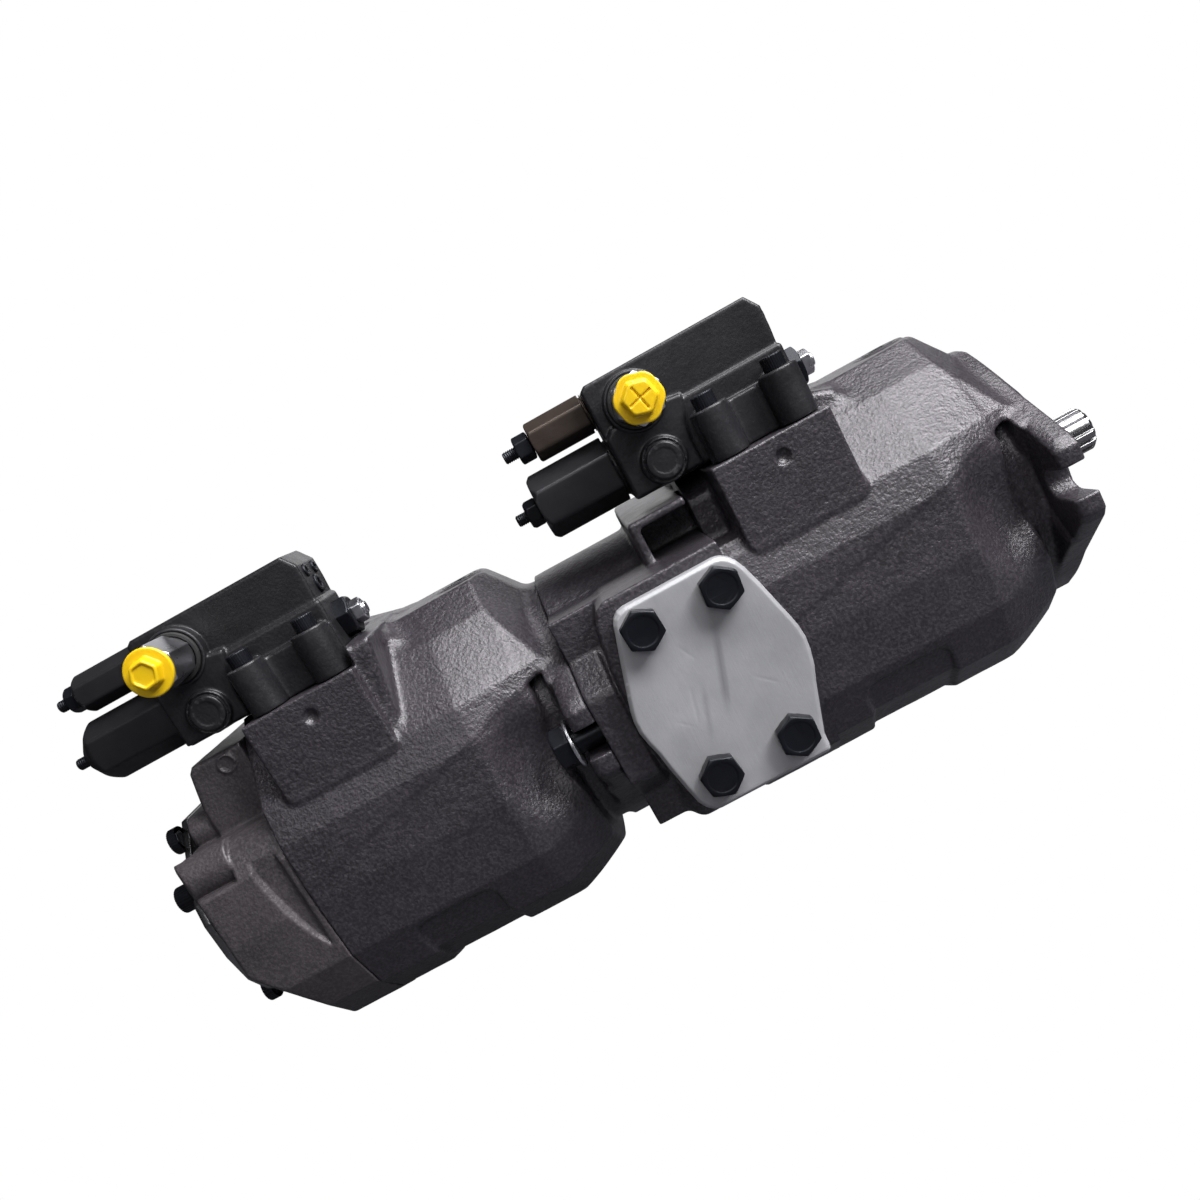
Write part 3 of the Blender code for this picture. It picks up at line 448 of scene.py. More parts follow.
def material(name, colour, rough, metal=0.0, *, grain, grain_mm, blotch=0.12, edge_wear_and_sheen=0.0,
             edge_wear_and_sheen_colour=None, scratch=0.0, stretch=(1.0, 1.0, 0.06), coat=0.0, rough_var=0.12,
             speck=0.0, spec=0.5, soft=0.0):
    """Blotched colour with light specks, lighter convex edges (worn edges and a painted edge
    highlight), grain and stretched scratches.

    blotch, speck, the edge lightening (wear and painted highlight), grain and scratch are
    strengths; grain_mm is the grain's size.
    """
    mat = bpy.data.materials.new(name)
    mat.use_nodes = True
    sh = Shader(mat)
    for socket, value in (("Metallic", metal), ("Specular IOR Level", spec),
                          ("Coat Weight", coat), ("Coat Roughness", 0.25)):
        sh.surface[socket].default_value = value
    if soft:
        sh.surface["Subsurface Weight"].default_value = soft
        sh.surface["Subsurface Radius"].default_value = (0.002, 0.0012, 0.0004)
        sh.surface["Subsurface Scale"].default_value = 1.0
    patches = sh.noise(26, detail=4)
    grains = sh.noise(1000 / grain_mm * 0.55)
    paint = sh.ramp(patches, 0.35, 0.65, tuple(c * (1 - blotch) for c in colour),
                    tuple(c * (1 + blotch) for c in colour))
    if speck:
        specks = sh.ramp(grains, 0.42, 0.66)
        paint = sh.mix(sh.math("MULTIPLY", specks, speck), paint,
                       tuple(c * 2.2 + 0.02 for c in colour))
    if edge_wear_and_sheen:
        # convex edges lightened by pointiness: partly edge wear, partly a painted edge highlight
        pointed = sh.new("ShaderNodeNewGeometry").outputs["Pointiness"]
        uneven = sh.math("SUBTRACT", sh.noise(210, detail=4), 0.5)
        edges = sh.math("ADD", pointed, sh.math("MULTIPLY", uneven, 0.10))
        worn_and_lit_edges = sh.ramp(edges, 0.535, 0.60)
        paint = sh.mix(sh.math("MULTIPLY", worn_and_lit_edges, edge_wear_and_sheen), paint, edge_wear_and_sheen_colour)
    sh.feed(sh.surface["Base Color"], paint)
    uneven = sh.math("SUBTRACT", sh.noise(120, detail=4), 0.5)
    uneven = sh.math("MULTIPLY", uneven, rough_var * 2)
    sh.feed(sh.surface["Roughness"], sh.math("ADD", uneven, rough, clamp=True))
    normal = sh.bump(grains, grain, grain_mm * 0.0005)
    coarse = sh.noise(1000 / grain_mm * 0.17)
    normal = sh.bump(coarse, grain * 0.6, grain_mm * 0.0008, normal)
    if scratch:
        mapping = sh.new("ShaderNodeMapping")
        mapping.inputs["Scale"].default_value = stretch
        mapping.inputs["Rotation"].default_value = (0.0, radians(20), 0.0)
        sh.links.new(sh.coords, mapping.inputs["Vector"])
        lines = sh.noise(900, detail=2, roughness=0.7, vector=mapping.outputs["Vector"])
        normal = sh.bump(lines, scratch, 0.0002, normal)
    sh.feed(sh.surface["Normal"], normal)
    return mat


CAST = material("cast_iron_coat", (0.034, 0.029, 0.036), rough=0.38, metal=0.30, grain=1.0,
                grain_mm=0.80, blotch=0.18, edge_wear_and_sheen=0.35, edge_wear_and_sheen_colour=(0.17, 0.16, 0.18), speck=0.55,
                rough_var=0.10, spec=0.8)
CAST_REAR = material("cast_iron_coat_rear", (0.064, 0.056, 0.062), rough=0.42, metal=0.25,
                     grain=0.7, grain_mm=0.80, blotch=0.24, edge_wear_and_sheen=0.45,
                     edge_wear_and_sheen_colour=(0.24, 0.22, 0.23), speck=0.35, rough_var=0.10, spec=0.6)
PLATE = material("cover_plate_grey", (0.40, 0.40, 0.42), rough=0.46, metal=0.25, grain=0.16,
                 grain_mm=0.7, blotch=0.13, edge_wear_and_sheen=0.45, edge_wear_and_sheen_colour=(0.72, 0.72, 0.74),
                 scratch=0.25, rough_var=0.08)
VALVE = material("valve_black", (0.019, 0.018, 0.021), rough=0.38, metal=0.3, grain=0.35,
                 grain_mm=0.8, blotch=0.2, edge_wear_and_sheen=0.35, edge_wear_and_sheen_colour=(0.10, 0.10, 0.11), speck=0.12)
HEX_BROWN = material("adjuster_brown_black", (0.060, 0.045, 0.037), rough=0.36, metal=0.6,
                     grain=0.06, grain_mm=0.5, blotch=0.18, edge_wear_and_sheen=0.5,
                     edge_wear_and_sheen_colour=(0.25, 0.21, 0.18), scratch=0.2, stretch=(0.05, 1, 1))
HEX_BLACK = material("adjuster_black", (0.034, 0.033, 0.037), rough=0.38, metal=0.6, grain=0.06,
                     grain_mm=0.5, blotch=0.18, edge_wear_and_sheen=0.5, edge_wear_and_sheen_colour=(0.2, 0.2, 0.21),
                     scratch=0.18, stretch=(0.05, 1, 1))
BOLT = material("bolt_blue_black", (0.012, 0.013, 0.018), rough=0.36, metal=0.6, grain=0.10,
                grain_mm=0.6, blotch=0.2, edge_wear_and_sheen=0.5, edge_wear_and_sheen_colour=(0.13, 0.13, 0.15), scratch=0.1)
STEEL = material("steel_machined", (0.30, 0.30, 0.31), rough=0.30, metal=1.0, grain=0.05,
                 grain_mm=0.5, blotch=0.08, edge_wear_and_sheen=0.3, edge_wear_and_sheen_colour=(0.7, 0.7, 0.7), scratch=0.25)
ZINC = material("steel_zinc", (0.62, 0.62, 0.66), rough=0.30, metal=1.0, grain=0.06,
                grain_mm=0.5, blotch=0.08, edge_wear_and_sheen=0.3, edge_wear_and_sheen_colour=(0.8, 0.8, 0.82), scratch=0.2)
BRONZE = material("bronze_lapped", (0.50, 0.30, 0.13), rough=0.30, metal=1.0, grain=0.05,
                  grain_mm=0.5, blotch=0.1, edge_wear_and_sheen=0.3, edge_wear_and_sheen_colour=(0.7, 0.5, 0.3), scratch=0.2)
YELLOW = material("cap_yellow", (0.86, 0.56, 0.006), rough=0.34, grain=0.10, grain_mm=0.8,
                  blotch=0.05, coat=0.15, rough_var=0.08, soft=0.15)
RUBBER = material("seal_rubber", (0.02, 0.02, 0.02), rough=0.6, grain=0.25, grain_mm=0.6)

# material of each slot; a piece may wear another one
MATERIALS = {"cast_iron_grey": CAST, "bright_steel": STEEL, "cover_grey": PLATE,
             "black_oxide": BOLT, "valve_black": VALVE, "adjuster_black": HEX_BLACK,
             "adjuster_brown": HEX_BROWN, "plated_steel": ZINC, "yellow_plastic": YELLOW,
             "bronze": BRONZE, "seal_rubber": RUBBER}
slot_of = {s["node"]: s["material_slot"] for s in frame["record"]["subparts"]}
for node, obj in NODES.items():
    obj.data.materials.clear()
    obj.data.materials.append(MATERIALS[slot_of[node]])
    bevel(obj, 0.0003, 40)


# ------------------------------------------------------------------------- housings
def arc(start, end, radius=63.0):
    """Seven points on the flange's round edge between two angles in degrees."""
    turns = [radians(start + (end - start) * i / 6) for i in range(7)]
    return [(radius * cos(t), radius * sin(t)) for t in turns]


# outlines in (y, z)
EAR_Z, EAR_CORNER = 19.1, 4.1
EAR = [(-83.3, EAR_Z), (-87.4, EAR_Z - EAR_CORNER), (-87.4, -(EAR_Z - EAR_CORNER)),
       (-83.3, -EAR_Z)]
FLANGE = arc(77, 103) + EAR + arc(257, 283) + [(-y, z) for y, z in reversed(EAR)]
SECTION = mirrored([(-24, 80.5), (-45, 67), (-72.5, 38.5), (-77.2, 22), (-78.5, -8), (-75.5, -38),
                    (-64, -60), (-44, -74), (-24, -79.5)])
# outlines in (x, z)
MOUND = [(JOINT - 20, 40), (JOINT - 20, 83), (-141, 86), (-92, 86), (-64, 79.0), (-64, 40)]
RISE = [(-100, 60), (-100, 82.5), (-79, 82.5), (-68, 78.5), (-60, 60)]
REAR_WEDGE = [(-84, 36), (-84, 84), (-69, 84), (-77.5, 36)]
# the hollow in (radius, x)
HOUSING_HOLLOW = [(-40, 20), (17.0, 20), (17.0, 0.5), (24.0, 0.5), (24.0, -10.5), (29.0, -10.5),
                  (29.0, -24), (22.0, -24), (22.0, -30), (54.0, -30), (60, -42), (60, -170),
                  (-40, -170)]
FLANGE_THICK = 12.7
BOLT_SLOT_RADIUS = 7.15


def housing_shell(x, y, z, section, r):
    """Body, crown, neck and mounting flange."""
    body = extrude(section, x, (JOINT - 20, -20.5), 2.2)
    upper = meet(extrude(section, x, (JOINT - 20, -2.0), 1.5), 31.0 - z + 0.25 * (x + 20), 2.0)
    body = join(body, upper, 2.0)
    # crown falls to the flange, and its shoulders draw in to the flange's slanted edges
    fall = (z - 62.0) * cos(radians(52)) + (x + 5.0) * sin(radians(52))
    body = meet(body, fall, 1.6)
    off = ((np.abs(y) - 15.5) * 40.0 + (z - 61.3) * 62.2) / 73.95
    body = meet(body, (off - 1.05 * (-7.0 - x)) / 1.45, 1.2)
    body = join(body, extrude(r - 60.5, x, (JOINT, -1), 1.0), 2.5)
    body = join(body, extrude(poly(y, z, FLANGE), x, (-FLANGE_THICK, 0), 1.3), 3.2)
    # scoop for the bolt head and spanner behind each ear
    for side in SIDES:
        scoop = np.sqrt((y - side * 99) ** 2 + z ** 2 + np.maximum(-27.0 - x, 0) ** 2 * 2.2)
        body = cut(body, meet(scoop - 38.0, x + FLANGE_THICK, 0.8), 8.0)
    return body


def housing_hollow(x, y, z, r):
    hollow = poly(r, x, HOUSING_HOLLOW)
    seats = np.minimum(box(x, y, z, (-37, -27), (-47, -24), (-24, 24), 0.4),
                       box(x, y, z, (-37, -27), (24, 47), (-24, 24), 0.4))
    seats = np.maximum(seats, -(radial(x, z, (-58, 0)) - 30.6))
    hollow = np.maximum(hollow, -seats)
    return np.minimum(hollow, rod(y, z, x, (0, 60.5), 12.0, (-170, -40), 0.4))


def housing_field(rear):
    def field(x, y, z):
        # sides and belly draw in towards the flange
        side_scale = 1 - 0.185 * np.clip((x + 52) / 38.0, 0, 1.3) ** 1.15
        belly_scale = 1 - 0.20 * np.clip((x + 48) / 34.0, 0, 1) ** 1.25
        low_z = z / (belly_scale * (1.0 if rear else 0.95))
        r = radial(y, z)
        section = poly(y / side_scale, np.where(z < 0, low_z, z), scaled(SECTION)) - 3.4
        body = housing_shell(x, y, z, section, r)
        # mound over the control piston beside the valve, and a rise blended to the crown
        body = join(body, extrude(poly(x, z, MOUND), y, (4.5, 42.5), 4.0), 5.0)
        body = join(body, extrude(poly(x, z, RISE), y, (-40, 20), 4.0), 6.0)
        # control pad
        pad = rect(x, z, (-136.4, -80.7), (35.0, 90.0), 5.0)
        body = join(body, extrude(pad, y, (-74.4, 0), 1.3), 2.6)
        if rear:
            body = join(body, extrude(poly(x, z, REAR_WEDGE), y, (-69, 0), 3.0), 4.0)
        # valve seat
        seat = box(x, y, z, (JOINT - 30, -80.0), (-120, 3.8), (75.6, 160), 0.3)
        body = cut(body, seat, 0.7)
        # recess beside the pad, against the port plate
        if not rear:
            recess = box(x, y, z, (JOINT - 30, -137.2), (-130, -47), (45.0, 95.0), 3.0)
            body = cut(body, recess, 2.0)
        # shallow step under the belly
        under = box(x, y, z, (-119, -79), (-110, 110), (-120, -41), 6.0)
        body = cut(body, meet(under, (section + 2.6) * -1.0, 1.5), 2.5)
        # drain spot, dimple of the control pad and the ring below it
        body = join(body, rod(x, y, z, (DRAIN_X, 0), 12.0, (60, 81.2), 0.6), 1.5)
        body = cut(body, rod(x, y, z, (DRAIN_X, 0), 9.3, (70, 100), 0.3), 0.5)
        dimple = np.sqrt((x + 107) ** 2 + (y + 76.0) ** 2 + (z - 66) ** 2) - 3.9
        body = cut(body, dimple, 0.8)
        body = join(body, rod(x, z, y, (-128, 46), 4.2, (-74.55, -70), 0.3), 0.5)
        body = cut(body, rod(x, z, y, (-128, 46), 3.4, (-80, -74.35), 0.2), 0.4)
        # bolt slots, open at the ears' ends
        for side in SIDES:
            out = side * y
            slot = np.minimum(radial(out, z, (FLANGE_BOLT_Y, 0)) - BOLT_SLOT_RADIUS,
                              np.maximum(np.abs(z) - BOLT_SLOT_RADIUS, FLANGE_BOLT_Y - out))
            body = cut(body, np.maximum(slot, slab(x, (-30, 10))), 0.8)
        # pilot ring
        pilot = rod(y, z, x, (0, 0), 50.8, (-5, PILOT_X), 0.5)
        body = join(body, np.maximum(pilot, (r + 1.7 * x - 59.3) / 1.97), 0.6)
        body = meet(body, JOINT - x, 0.5)
        return cut(body, housing_hollow(x, y, z, r), 0.6)
    return field


def machined(x_faces, y_faces=()):
    """1 on cast skin, 0 near the machined faces across X and Y."""
    def mask(x, y):
        weight = np.ones(len(x))
        for values, faces in ((x, x_faces), (y, y_faces)):
            for face in faces:
                weight *= np.clip(np.abs(values - face) / 2.0 - 0.15, 0, 1)
        return weight
    return mask


CAST_STEP = 0.85
CAST_KEEP = 0.42
for end, origin in PUMPS.items():
    cast(f"{end}_housing_cast", housing_field(end == "rear"), ((-151, 12), (-92, 92), (-85, 90)),
         CAST_STEP, "cast_iron_grey", replaces=(f"{end}_housing",), rough=0.16,
         mask=machined([origin, origin + JOINT, origin + PILOT_X]), keep=CAST_KEEP, origin=origin)

# ------------------------------------------------------------------- middle port plate
# suction boss in (x from the port, z)
BOSS_EDGE = [(-27.0, 50.0), (-30.6, 48.0), (-33.3, 42.3), (-35.0, 34.2), (-36.5, 23.9),
             (-37.3, 13.5), (-37.3, -16), (-35.5, -32), (-31.0, -44), (-26, -47), (25.0, -47),
             (27.4, -45), (27.4, 47), (25.0, 50)]
# outlines in (y, z)
MIDDLE_SECTION = mirrored([(-50, 70.5), (-62, 62), (-72.5, 38.5), (-77.2, 22), (-78.5, -8),
                           (-75.5, -38), (-64, -60), (-44, -70.5), (-24, -75)])
MATE = mirrored([(-62, 33), (-85.6, 17.5), (-86.6, 14), (-86.6, -24), (-84, -27), (-62, -40)])
# shaft bore in (radius, x)
MIDDLE_BORE = [(-30, -160), (22.0, -160), (22.0, -219), (51.3, -219), (51.3, -270), (-30, -270)]
SUCTION_Y, OUTLET_Y = -90.0, 88         # faces of the bosses


def middle_bores(x, y, z):
    bore = poly(radial(y, z), x, MIDDLE_BORE)
    bore = np.minimum(bore, rod(y, z, x, (0, 0), 15.5, (-200, -120), 0.3))
    bore = np.minimum(bore, rod(x, z, y, (PORT_X, 0), 19.0, (-120, -26), 0.5))
    bore = np.minimum(bore, rod(x, z, y, (PORT_X, 0), 12.7, (26, 120), 0.5))
    for i, j in CORNERS:
        centre = PORT_X + i * COVER_BOLT_X, j * COVER_BOLT_Z
        bore = np.minimum(bore, rod(x, z, y, centre, 6.3, (-110, -68), 0.3))
        centre = PORT_X + i * 13.1, j * 26.2
        bore = np.minimum(bore, rod(x, z, y, centre, 5.2, (70, 110), 0.3))
    for side in SIDES:
        hole = rod(y, z, x, (side * FLANGE_BOLT_Y, 0), 6.4, (-244, -204), 0.3)
        bore = np.minimum(bore, hole)
    return bore


def middle_field(x, y, z):
    section = poly(y, z, scaled(MIDDLE_SECTION)) - 3.2
    body = extrude(section, x, (-178.5, -130), 3.0)
    body = join(body, rod(y, z, x, (0, 0), 65.0, (-240, -150), 0.5), 4.0)
    # ledge beside the neck, and the ears that meet the rear flange
    body = join(body, box(x, y, z, (-245, -150), (-66, 66), (20, 50.0), 1.2), 1.2)
    mate = poly(y, z, MATE)
    body = join(body, extrude(mate, x, (REAR_X - 12, -215.0), 1.2), 1.2)
    body = join(body, extrude(mate + 2.2, x, (-216, -202.0), 3.0), 3.5)
    # two blocks below
    body = join(body, box(x, y, z, (-245, -208), (-64, 64), (-56, -30), 3.0), 3.0)
    body = join(body, box(x, y, z, (-212, -150), (-70, 70), (-61, -20), 6.0), 5.0)
    # raised rim and the recesses on its suction side
    body = join(body, box(x, y, z, (-178.2, -149), (-64.5, 64.5), (40, 71.0), 2.0), 1.5)
    body = cut(body, box(x, y, z, (-173.8, -120), (-140, -28), (45.0, 67.3), 2.2), 1.0)
    body = cut(body, box(x, y, z, (-151, -120), (-140, -28), (45.0, 90), 2.2), 1.0)
    # suction boss on -Y, held back past the joint, and outlet boss on +Y
    boss = extrude(poly(x - PORT_X, z, BOSS_EDGE) - 1.0, y, (SUCTION_Y, -20), 1.3)
    past = box(x, y, z, (JOINT - 0.3, -120), (-79.0, 20), (-120, 120), 0.3)
    body = join(body, meet(boss, -past, 0.4), 2.2)
    outlet = rect(x, z, (-204.7, -149.7), (-42, 42), 7.0)
    body = join(body, extrude(outlet, y, (20, OUTLET_Y), 1.3), 3.0)
    # joint face with its spigot, and the face to the rear pump
    body = np.maximum(body, np.minimum(x + 149.3, -(y + 79.2)))
    body = np.minimum(body, rod(y, z, x, (0, 0), SPIGOT_RADIUS, (-152, SPIGOT_X), 0.6))
    body = meet(body, (REAR_X + 0.3) - x, 0.5)
    return cut(body, middle_bores(x, y, z), 0.5)


cast("middle_port_plate_cast", middle_field, ((-231, -139), (-93, 91), (-84, 76)), CAST_STEP,
     "cast_iron_grey", replaces=("middle_port_plate",), rough=0.15, keep=CAST_KEEP,
     mask=machined([REAR_X, REAR_X + 0.3, -149.3, SPIGOT_X], [SUCTION_Y, OUTLET_Y]))

# ------------------------------------------------------------------- rear port plate
# outlines in (y, z)
RIM = mirrored([(-24, 46), (-51, 23.5), (-59.5, 13), (-62, 3), (-61, -15), (-56, -31), (-46, -42),
                (-37, -50), (-20, -58)])
REAR_SECTION = mirrored([(-40, 36), (-62, 35), (-72, 28), (-77.2, 17), (-78, -8), (-76.0, -38),
                         (-66, -58), (-46, -74), (-26, -81.5)])
# outlines in (x, z)
SIDE_RECESS = [(-394.8, 25.5), (-394.4, 14), (-392.5, 3.9), (-389.5, -9), (-385.8, -21),
               (-382.8, -27), (-382.8, 33), (-386, 34.0), (-391, 31.0)]
REAR_TOP = [(-410.0, 28), (-410.0, 49), (-406.0, 66.5), (-403.4, 69.2), (-350, 69.2), (-350, 28)]
LOWER_PORT_Y = 34                       # port drilled up from below


def rear_sides(x, y, z, body, draw):
    """Recesses, steps and screw bosses on both sides."""
    for side in SIDES:
        out = side * y
        recess = poly(x, z, SIDE_RECESS)
        body = cut(body, np.maximum(recess - 0.7 * (out - 75.0), 74.6 - out), 0.7)
        step = np.maximum(rect(x, z, (-450, -403.5), (17.5, 60), 1.0), 69.5 - out)
        body = cut(body, step, 1.5)
        shoulder = rod(y, z, x, (side * 63.5, 25.3), 10.2, (-430.0, -402.5), 1.0)
        body = join(body, meet(shoulder, draw, 1.2), 1.2)
        body = join(body, rod(y, z, x, (side * 41, 39.5), 8.8, (-422.5, -370), 1.2), 1.5)
        above = box(x, y, z, (-450, -424.9), sorted((side * 26, side * 64)), (32.3, 60), 0.8)
        body = cut(body, above, 0.5)
        below = box(x, y, z, (-450, -423.0), sorted((side * 38, side * 90)), (-66, -40.0), 1.2)
        body = cut(body, below, 0.6)
    return body


def rear_bores(x, y, z):
    bore = rod(y, z, x, (0, 0), 15.5, (-397, -360), 0.3)
    bore = np.minimum(bore, rod(y, z, x, (0, 0), 20.0, (-445, -396), 0.3))
    bore = np.minimum(bore, rod(x, z, y, (REAR_PORT_X + 1, 0), 17.0, (26, 120), 0.5))
    bore = np.minimum(bore, rod(x, y, z, (REAR_PORT_X, LOWER_PORT_Y), 11.0, (-120, -30), 0.5))
    for i, j in CORNERS:
        centre = REAR_PORT_X + 1 + i * 15.4, j * 29.4
        bore = np.minimum(bore, rod(x, z, y, centre, 5.0, (70, 110), 0.3))
        centre = REAR_PORT_X + i * 11.1, LOWER_PORT_Y + j * 23.8
        bore = np.minimum(bore, rod(x, y, z, centre, 4.2, (-110, -68), 0.3))
    return bore


def rear_field(x, y, z):
    out = np.abs(y)
    body = extrude(poly(y, z, scaled(REAR_SECTION)) - 3.2, x, (REAR_END, -350), 2.0)
    # drawn in on the sides and below towards the rear rim
    draw = (-(x - REAR_END)) * 0.88 + (62.5 - out) * -0.47
    body = meet(body, draw, 1.2)
    body = meet(body, (-(x + 425.0)) * 0.72 + (-(z + 69.0)) * 0.69, 2.5)
    body = meet(body, (0.644 * out - 0.765 * z - 76.0 - 0.95 * (x + 415.0)) / 1.38, 1.2)
    body = meet(body, z - 34.5, 2.0)
    body = join(body, extrude(poly(y, z, RIM), x, (REAR_END, -360), 0.8), 1.0)
    body = rear_sides(x, y, z, body, draw)
    body = join(body, extrude(poly(x, z, REAR_TOP), y, (-52, 52), 2.2), 1.5)
    # small ring on the top block's -Y face
    body = join(body, rod(x, z, y, (-388, 63.2), 4.6, (-52.7, -40), 0.3), 0.6)
    body = cut(body, rod(x, z, y, (-388, 63.2), 3.4, (-60, -51.9), 0.3), 0.5)
    # port boss on +Y
    port = rect(x, z, (REAR_PORT_X - 22, REAR_PORT_X + 24), (-46, 46), 6.0)
    body = join(body, extrude(port, y, (20, 86), 1.3), 3.0)
    body = meet(body, x - REAR_JOINT, 0.5)
    spigot = rod(y, z, x, (0, 0), SPIGOT_RADIUS, (-385, REAR_X + SPIGOT_X), 0.6)
    body = np.minimum(body, spigot)
    body = meet(body, REAR_END - x, 0.6)
    return cut(body, rear_bores(x, y, z), 0.5)


cast("rear_port_plate_cast", rear_field, ((-434, -368), (-84, 90), (-85, 76)), CAST_STEP,
     "cast_iron_grey", CAST_REAR, ("rear_port_plate",), rough=0.15, keep=CAST_KEEP,
     mask=machined([REAR_END, REAR_JOINT, REAR_X + SPIGOT_X]))

# ------------------------------------------------------------------- valve adjusters
# each adjuster's pump and axis height
ADJUSTERS = {"front_flow": (0.0, UPPER_Z), "front_pressure": (0.0, LOWER_Z),
             "rear_flow": (REAR_X, UPPER_Z), "rear_pressure": (REAR_X, LOWER_Z)}
NUT_HOLE = 3.25
THREAD_PITCH = 1.0


def adjuster_cap(name, flats, span, bore, step, slot, mat=None, rim=None, cone=None, nose=None):
    """Hexagon cap chamfered by a cone, or drawn to a nose (its base's x, base and tip radius)."""
    origin, height = ADJUSTERS[name]
    axis = VALVE_Y, height
    start, end = span

    def field(x, y, z):
        r = radial(y, z, axis)
        bar = hex_bar(y, z, axis, flats, blend=0.9)
        if nose:
            base, base_radius, tip_radius = nose
            slope = (base_radius - tip_radius) / (base - start)
            taper = (r - tip_radius - (x - start) * slope) / sqrt(1 + slope * slope)
            body = meet(extrude(bar, x, span, 0.5), taper, 1.6)
        else:
            body = capped(bar, r, x, span, cone, 2.2, rim)
        # sealing groove next to the valve body
        groove = np.maximum(slab(x, (end - 1.3, end - 0.5)), (flats / 2 - 0.5) - r)
        body = cut(body, groove, 0.2)
        return cut(body, np.minimum(np.maximum(r - bore, start + 7 - x), r - 3.3), 0.3)
    half = flats / 2 / cos(pi / 6) + 1.5
    small(f"{name}_cap_hex", field,
          ((start - 1.5, end + 1.5), about(VALVE_Y, half), about(height, half)), step, slot,
          mat=mat, replaces=(f"{name}_cap",), origin=origin)


def lock_nut(name, span, turn, slope):
    origin, height = ADJUSTERS[name]
    axis = VALVE_Y, height
    start, end = span

    def field(x, y, z):
        r = radial(y, z, axis)
        body = capped(hex_bar(y, z, axis, 11.4, turn, 0.35), r, x, span, slope, 1.8, 5.5)
        hole = np.maximum(r - NUT_HOLE, r - NUT_HOLE - (start + 0.5 - x))
        return cut(body, hole, 0.25)
    small(f"{name}_lock_nut_detail", field,
          ((start - 1.2, end + 1.2), about(VALVE_Y, 8), about(height, 8)), 0.30, "black_oxide",
          replaces=(f"{name}_lock_nut",), body=f"{name}_nut_body", origin=origin)


def set_screw(name, span):
    origin, height = ADJUSTERS[name]
    axis = VALVE_Y, height
    start, end = span

    def field(x, y, z):
        r = radial(y, z, axis)
        flank = zigzag(x / THREAD_PITCH - angle(y, z, axis) / (2 * pi))
        body = meet((r - (2.86 - 0.42 * flank)) * 0.75, slab(x, span), 0.15)
        body = meet(body, ((r - 2.2) - (x - start)) * 0.7, 0.15)
        socket = np.maximum(hex_bar(y, z, axis, 2.8, 0.2, 0.1), x - (start + 2.8))
        return cut(body, socket, 0.15)
    small(f"{name}_screw_thread", field,
          ((start - 1, end + 1), about(VALVE_Y, 4), about(height, 4)), 0.24, "black_oxide",
          replaces=(f"{name}_screw",), body=f"{name}_screw_body", keep=0.55, origin=origin)


adjuster_cap("front_flow", flats=16.5, span=(-197.3, -168.7), rim=8.35, cone=1.2, bore=6.0,
             step=0.42, slot="adjuster_brown")
adjuster_cap("front_pressure", flats=27.2, span=(-208.0, -168.6), rim=13.6, cone=0.9, bore=9.0,
             step=0.60, slot="adjuster_black")
adjuster_cap("rear_flow", flats=16.5, span=(-205.5, -168.7), rim=7.4, cone=1.0, bore=6.0,
             step=0.45, slot="adjuster_brown", mat=HEX_BLACK)
adjuster_cap("rear_pressure", flats=26.7, span=(-219.5, -168.6), nose=(-210.7, 15.4, 4.6),
             bore=9.0, step=0.60, slot="adjuster_black")
lock_nut("front_flow", span=(-205.0, -197.6), turn=0.0, slope=1.8)
lock_nut("front_pressure", span=(-214.7, -208.3), turn=0.0, slope=0.8)
lock_nut("rear_flow", span=(-211.6, -205.8), turn=0.12, slope=0.9)
set_screw("front_flow", span=(-211.5, -179.3))
set_screw("front_pressure", span=(-220.0, -184.0))
set_screw("rear_flow", span=(-217.4, -187.5))
set_screw("rear_pressure", span=(-225.5, -195.5))

# ------------------------------------------------------------------- valve bodies
FIT_X, FIT_Z = FITTING = (-149.9, 115.4)
PLUG_X, PLUG_Z = PLUG = (-150.2, 87.6)
END_AXIS = (VALVE_Y, 94.0)
SOLE_Z = 75.9
VALVE_SCREWS = [(x, y) for y in (-62, -8) for x in (-124.3, -91.5)]
BLOCK_PLUGS = [(-44.0, 121.0, 3.0), (-28.5, 121.0, 3.0), (-36.0, 113.5, 4.4)]  # y, z, radius
# outlines in (x, z)
VALVE_TOP = [(-167.6, 105), (-167.6, 129.0), (-165.6, 130.5), (-89.0, 130.5), (-84.6, 124.5),
             (-84.6, 116), (-85.2, 106.2)]
VALVE_PAD = [(-167.2, 79.2), (-167.2, 106), (-164, 109), (-137, 109), (-131.6, 108.2),
             (-132.6, 104), (-135, 98), (-136.5, 90), (-136.5, 79.2)]
# section of the fitting's seal in (radius, y)
SEAL_RING = [(9.8, -60.2), (9.8, -58.2), (11.3, -58.2), (11.7, -58.7), (11.7, -59.8),
             (11.3, -60.2)]


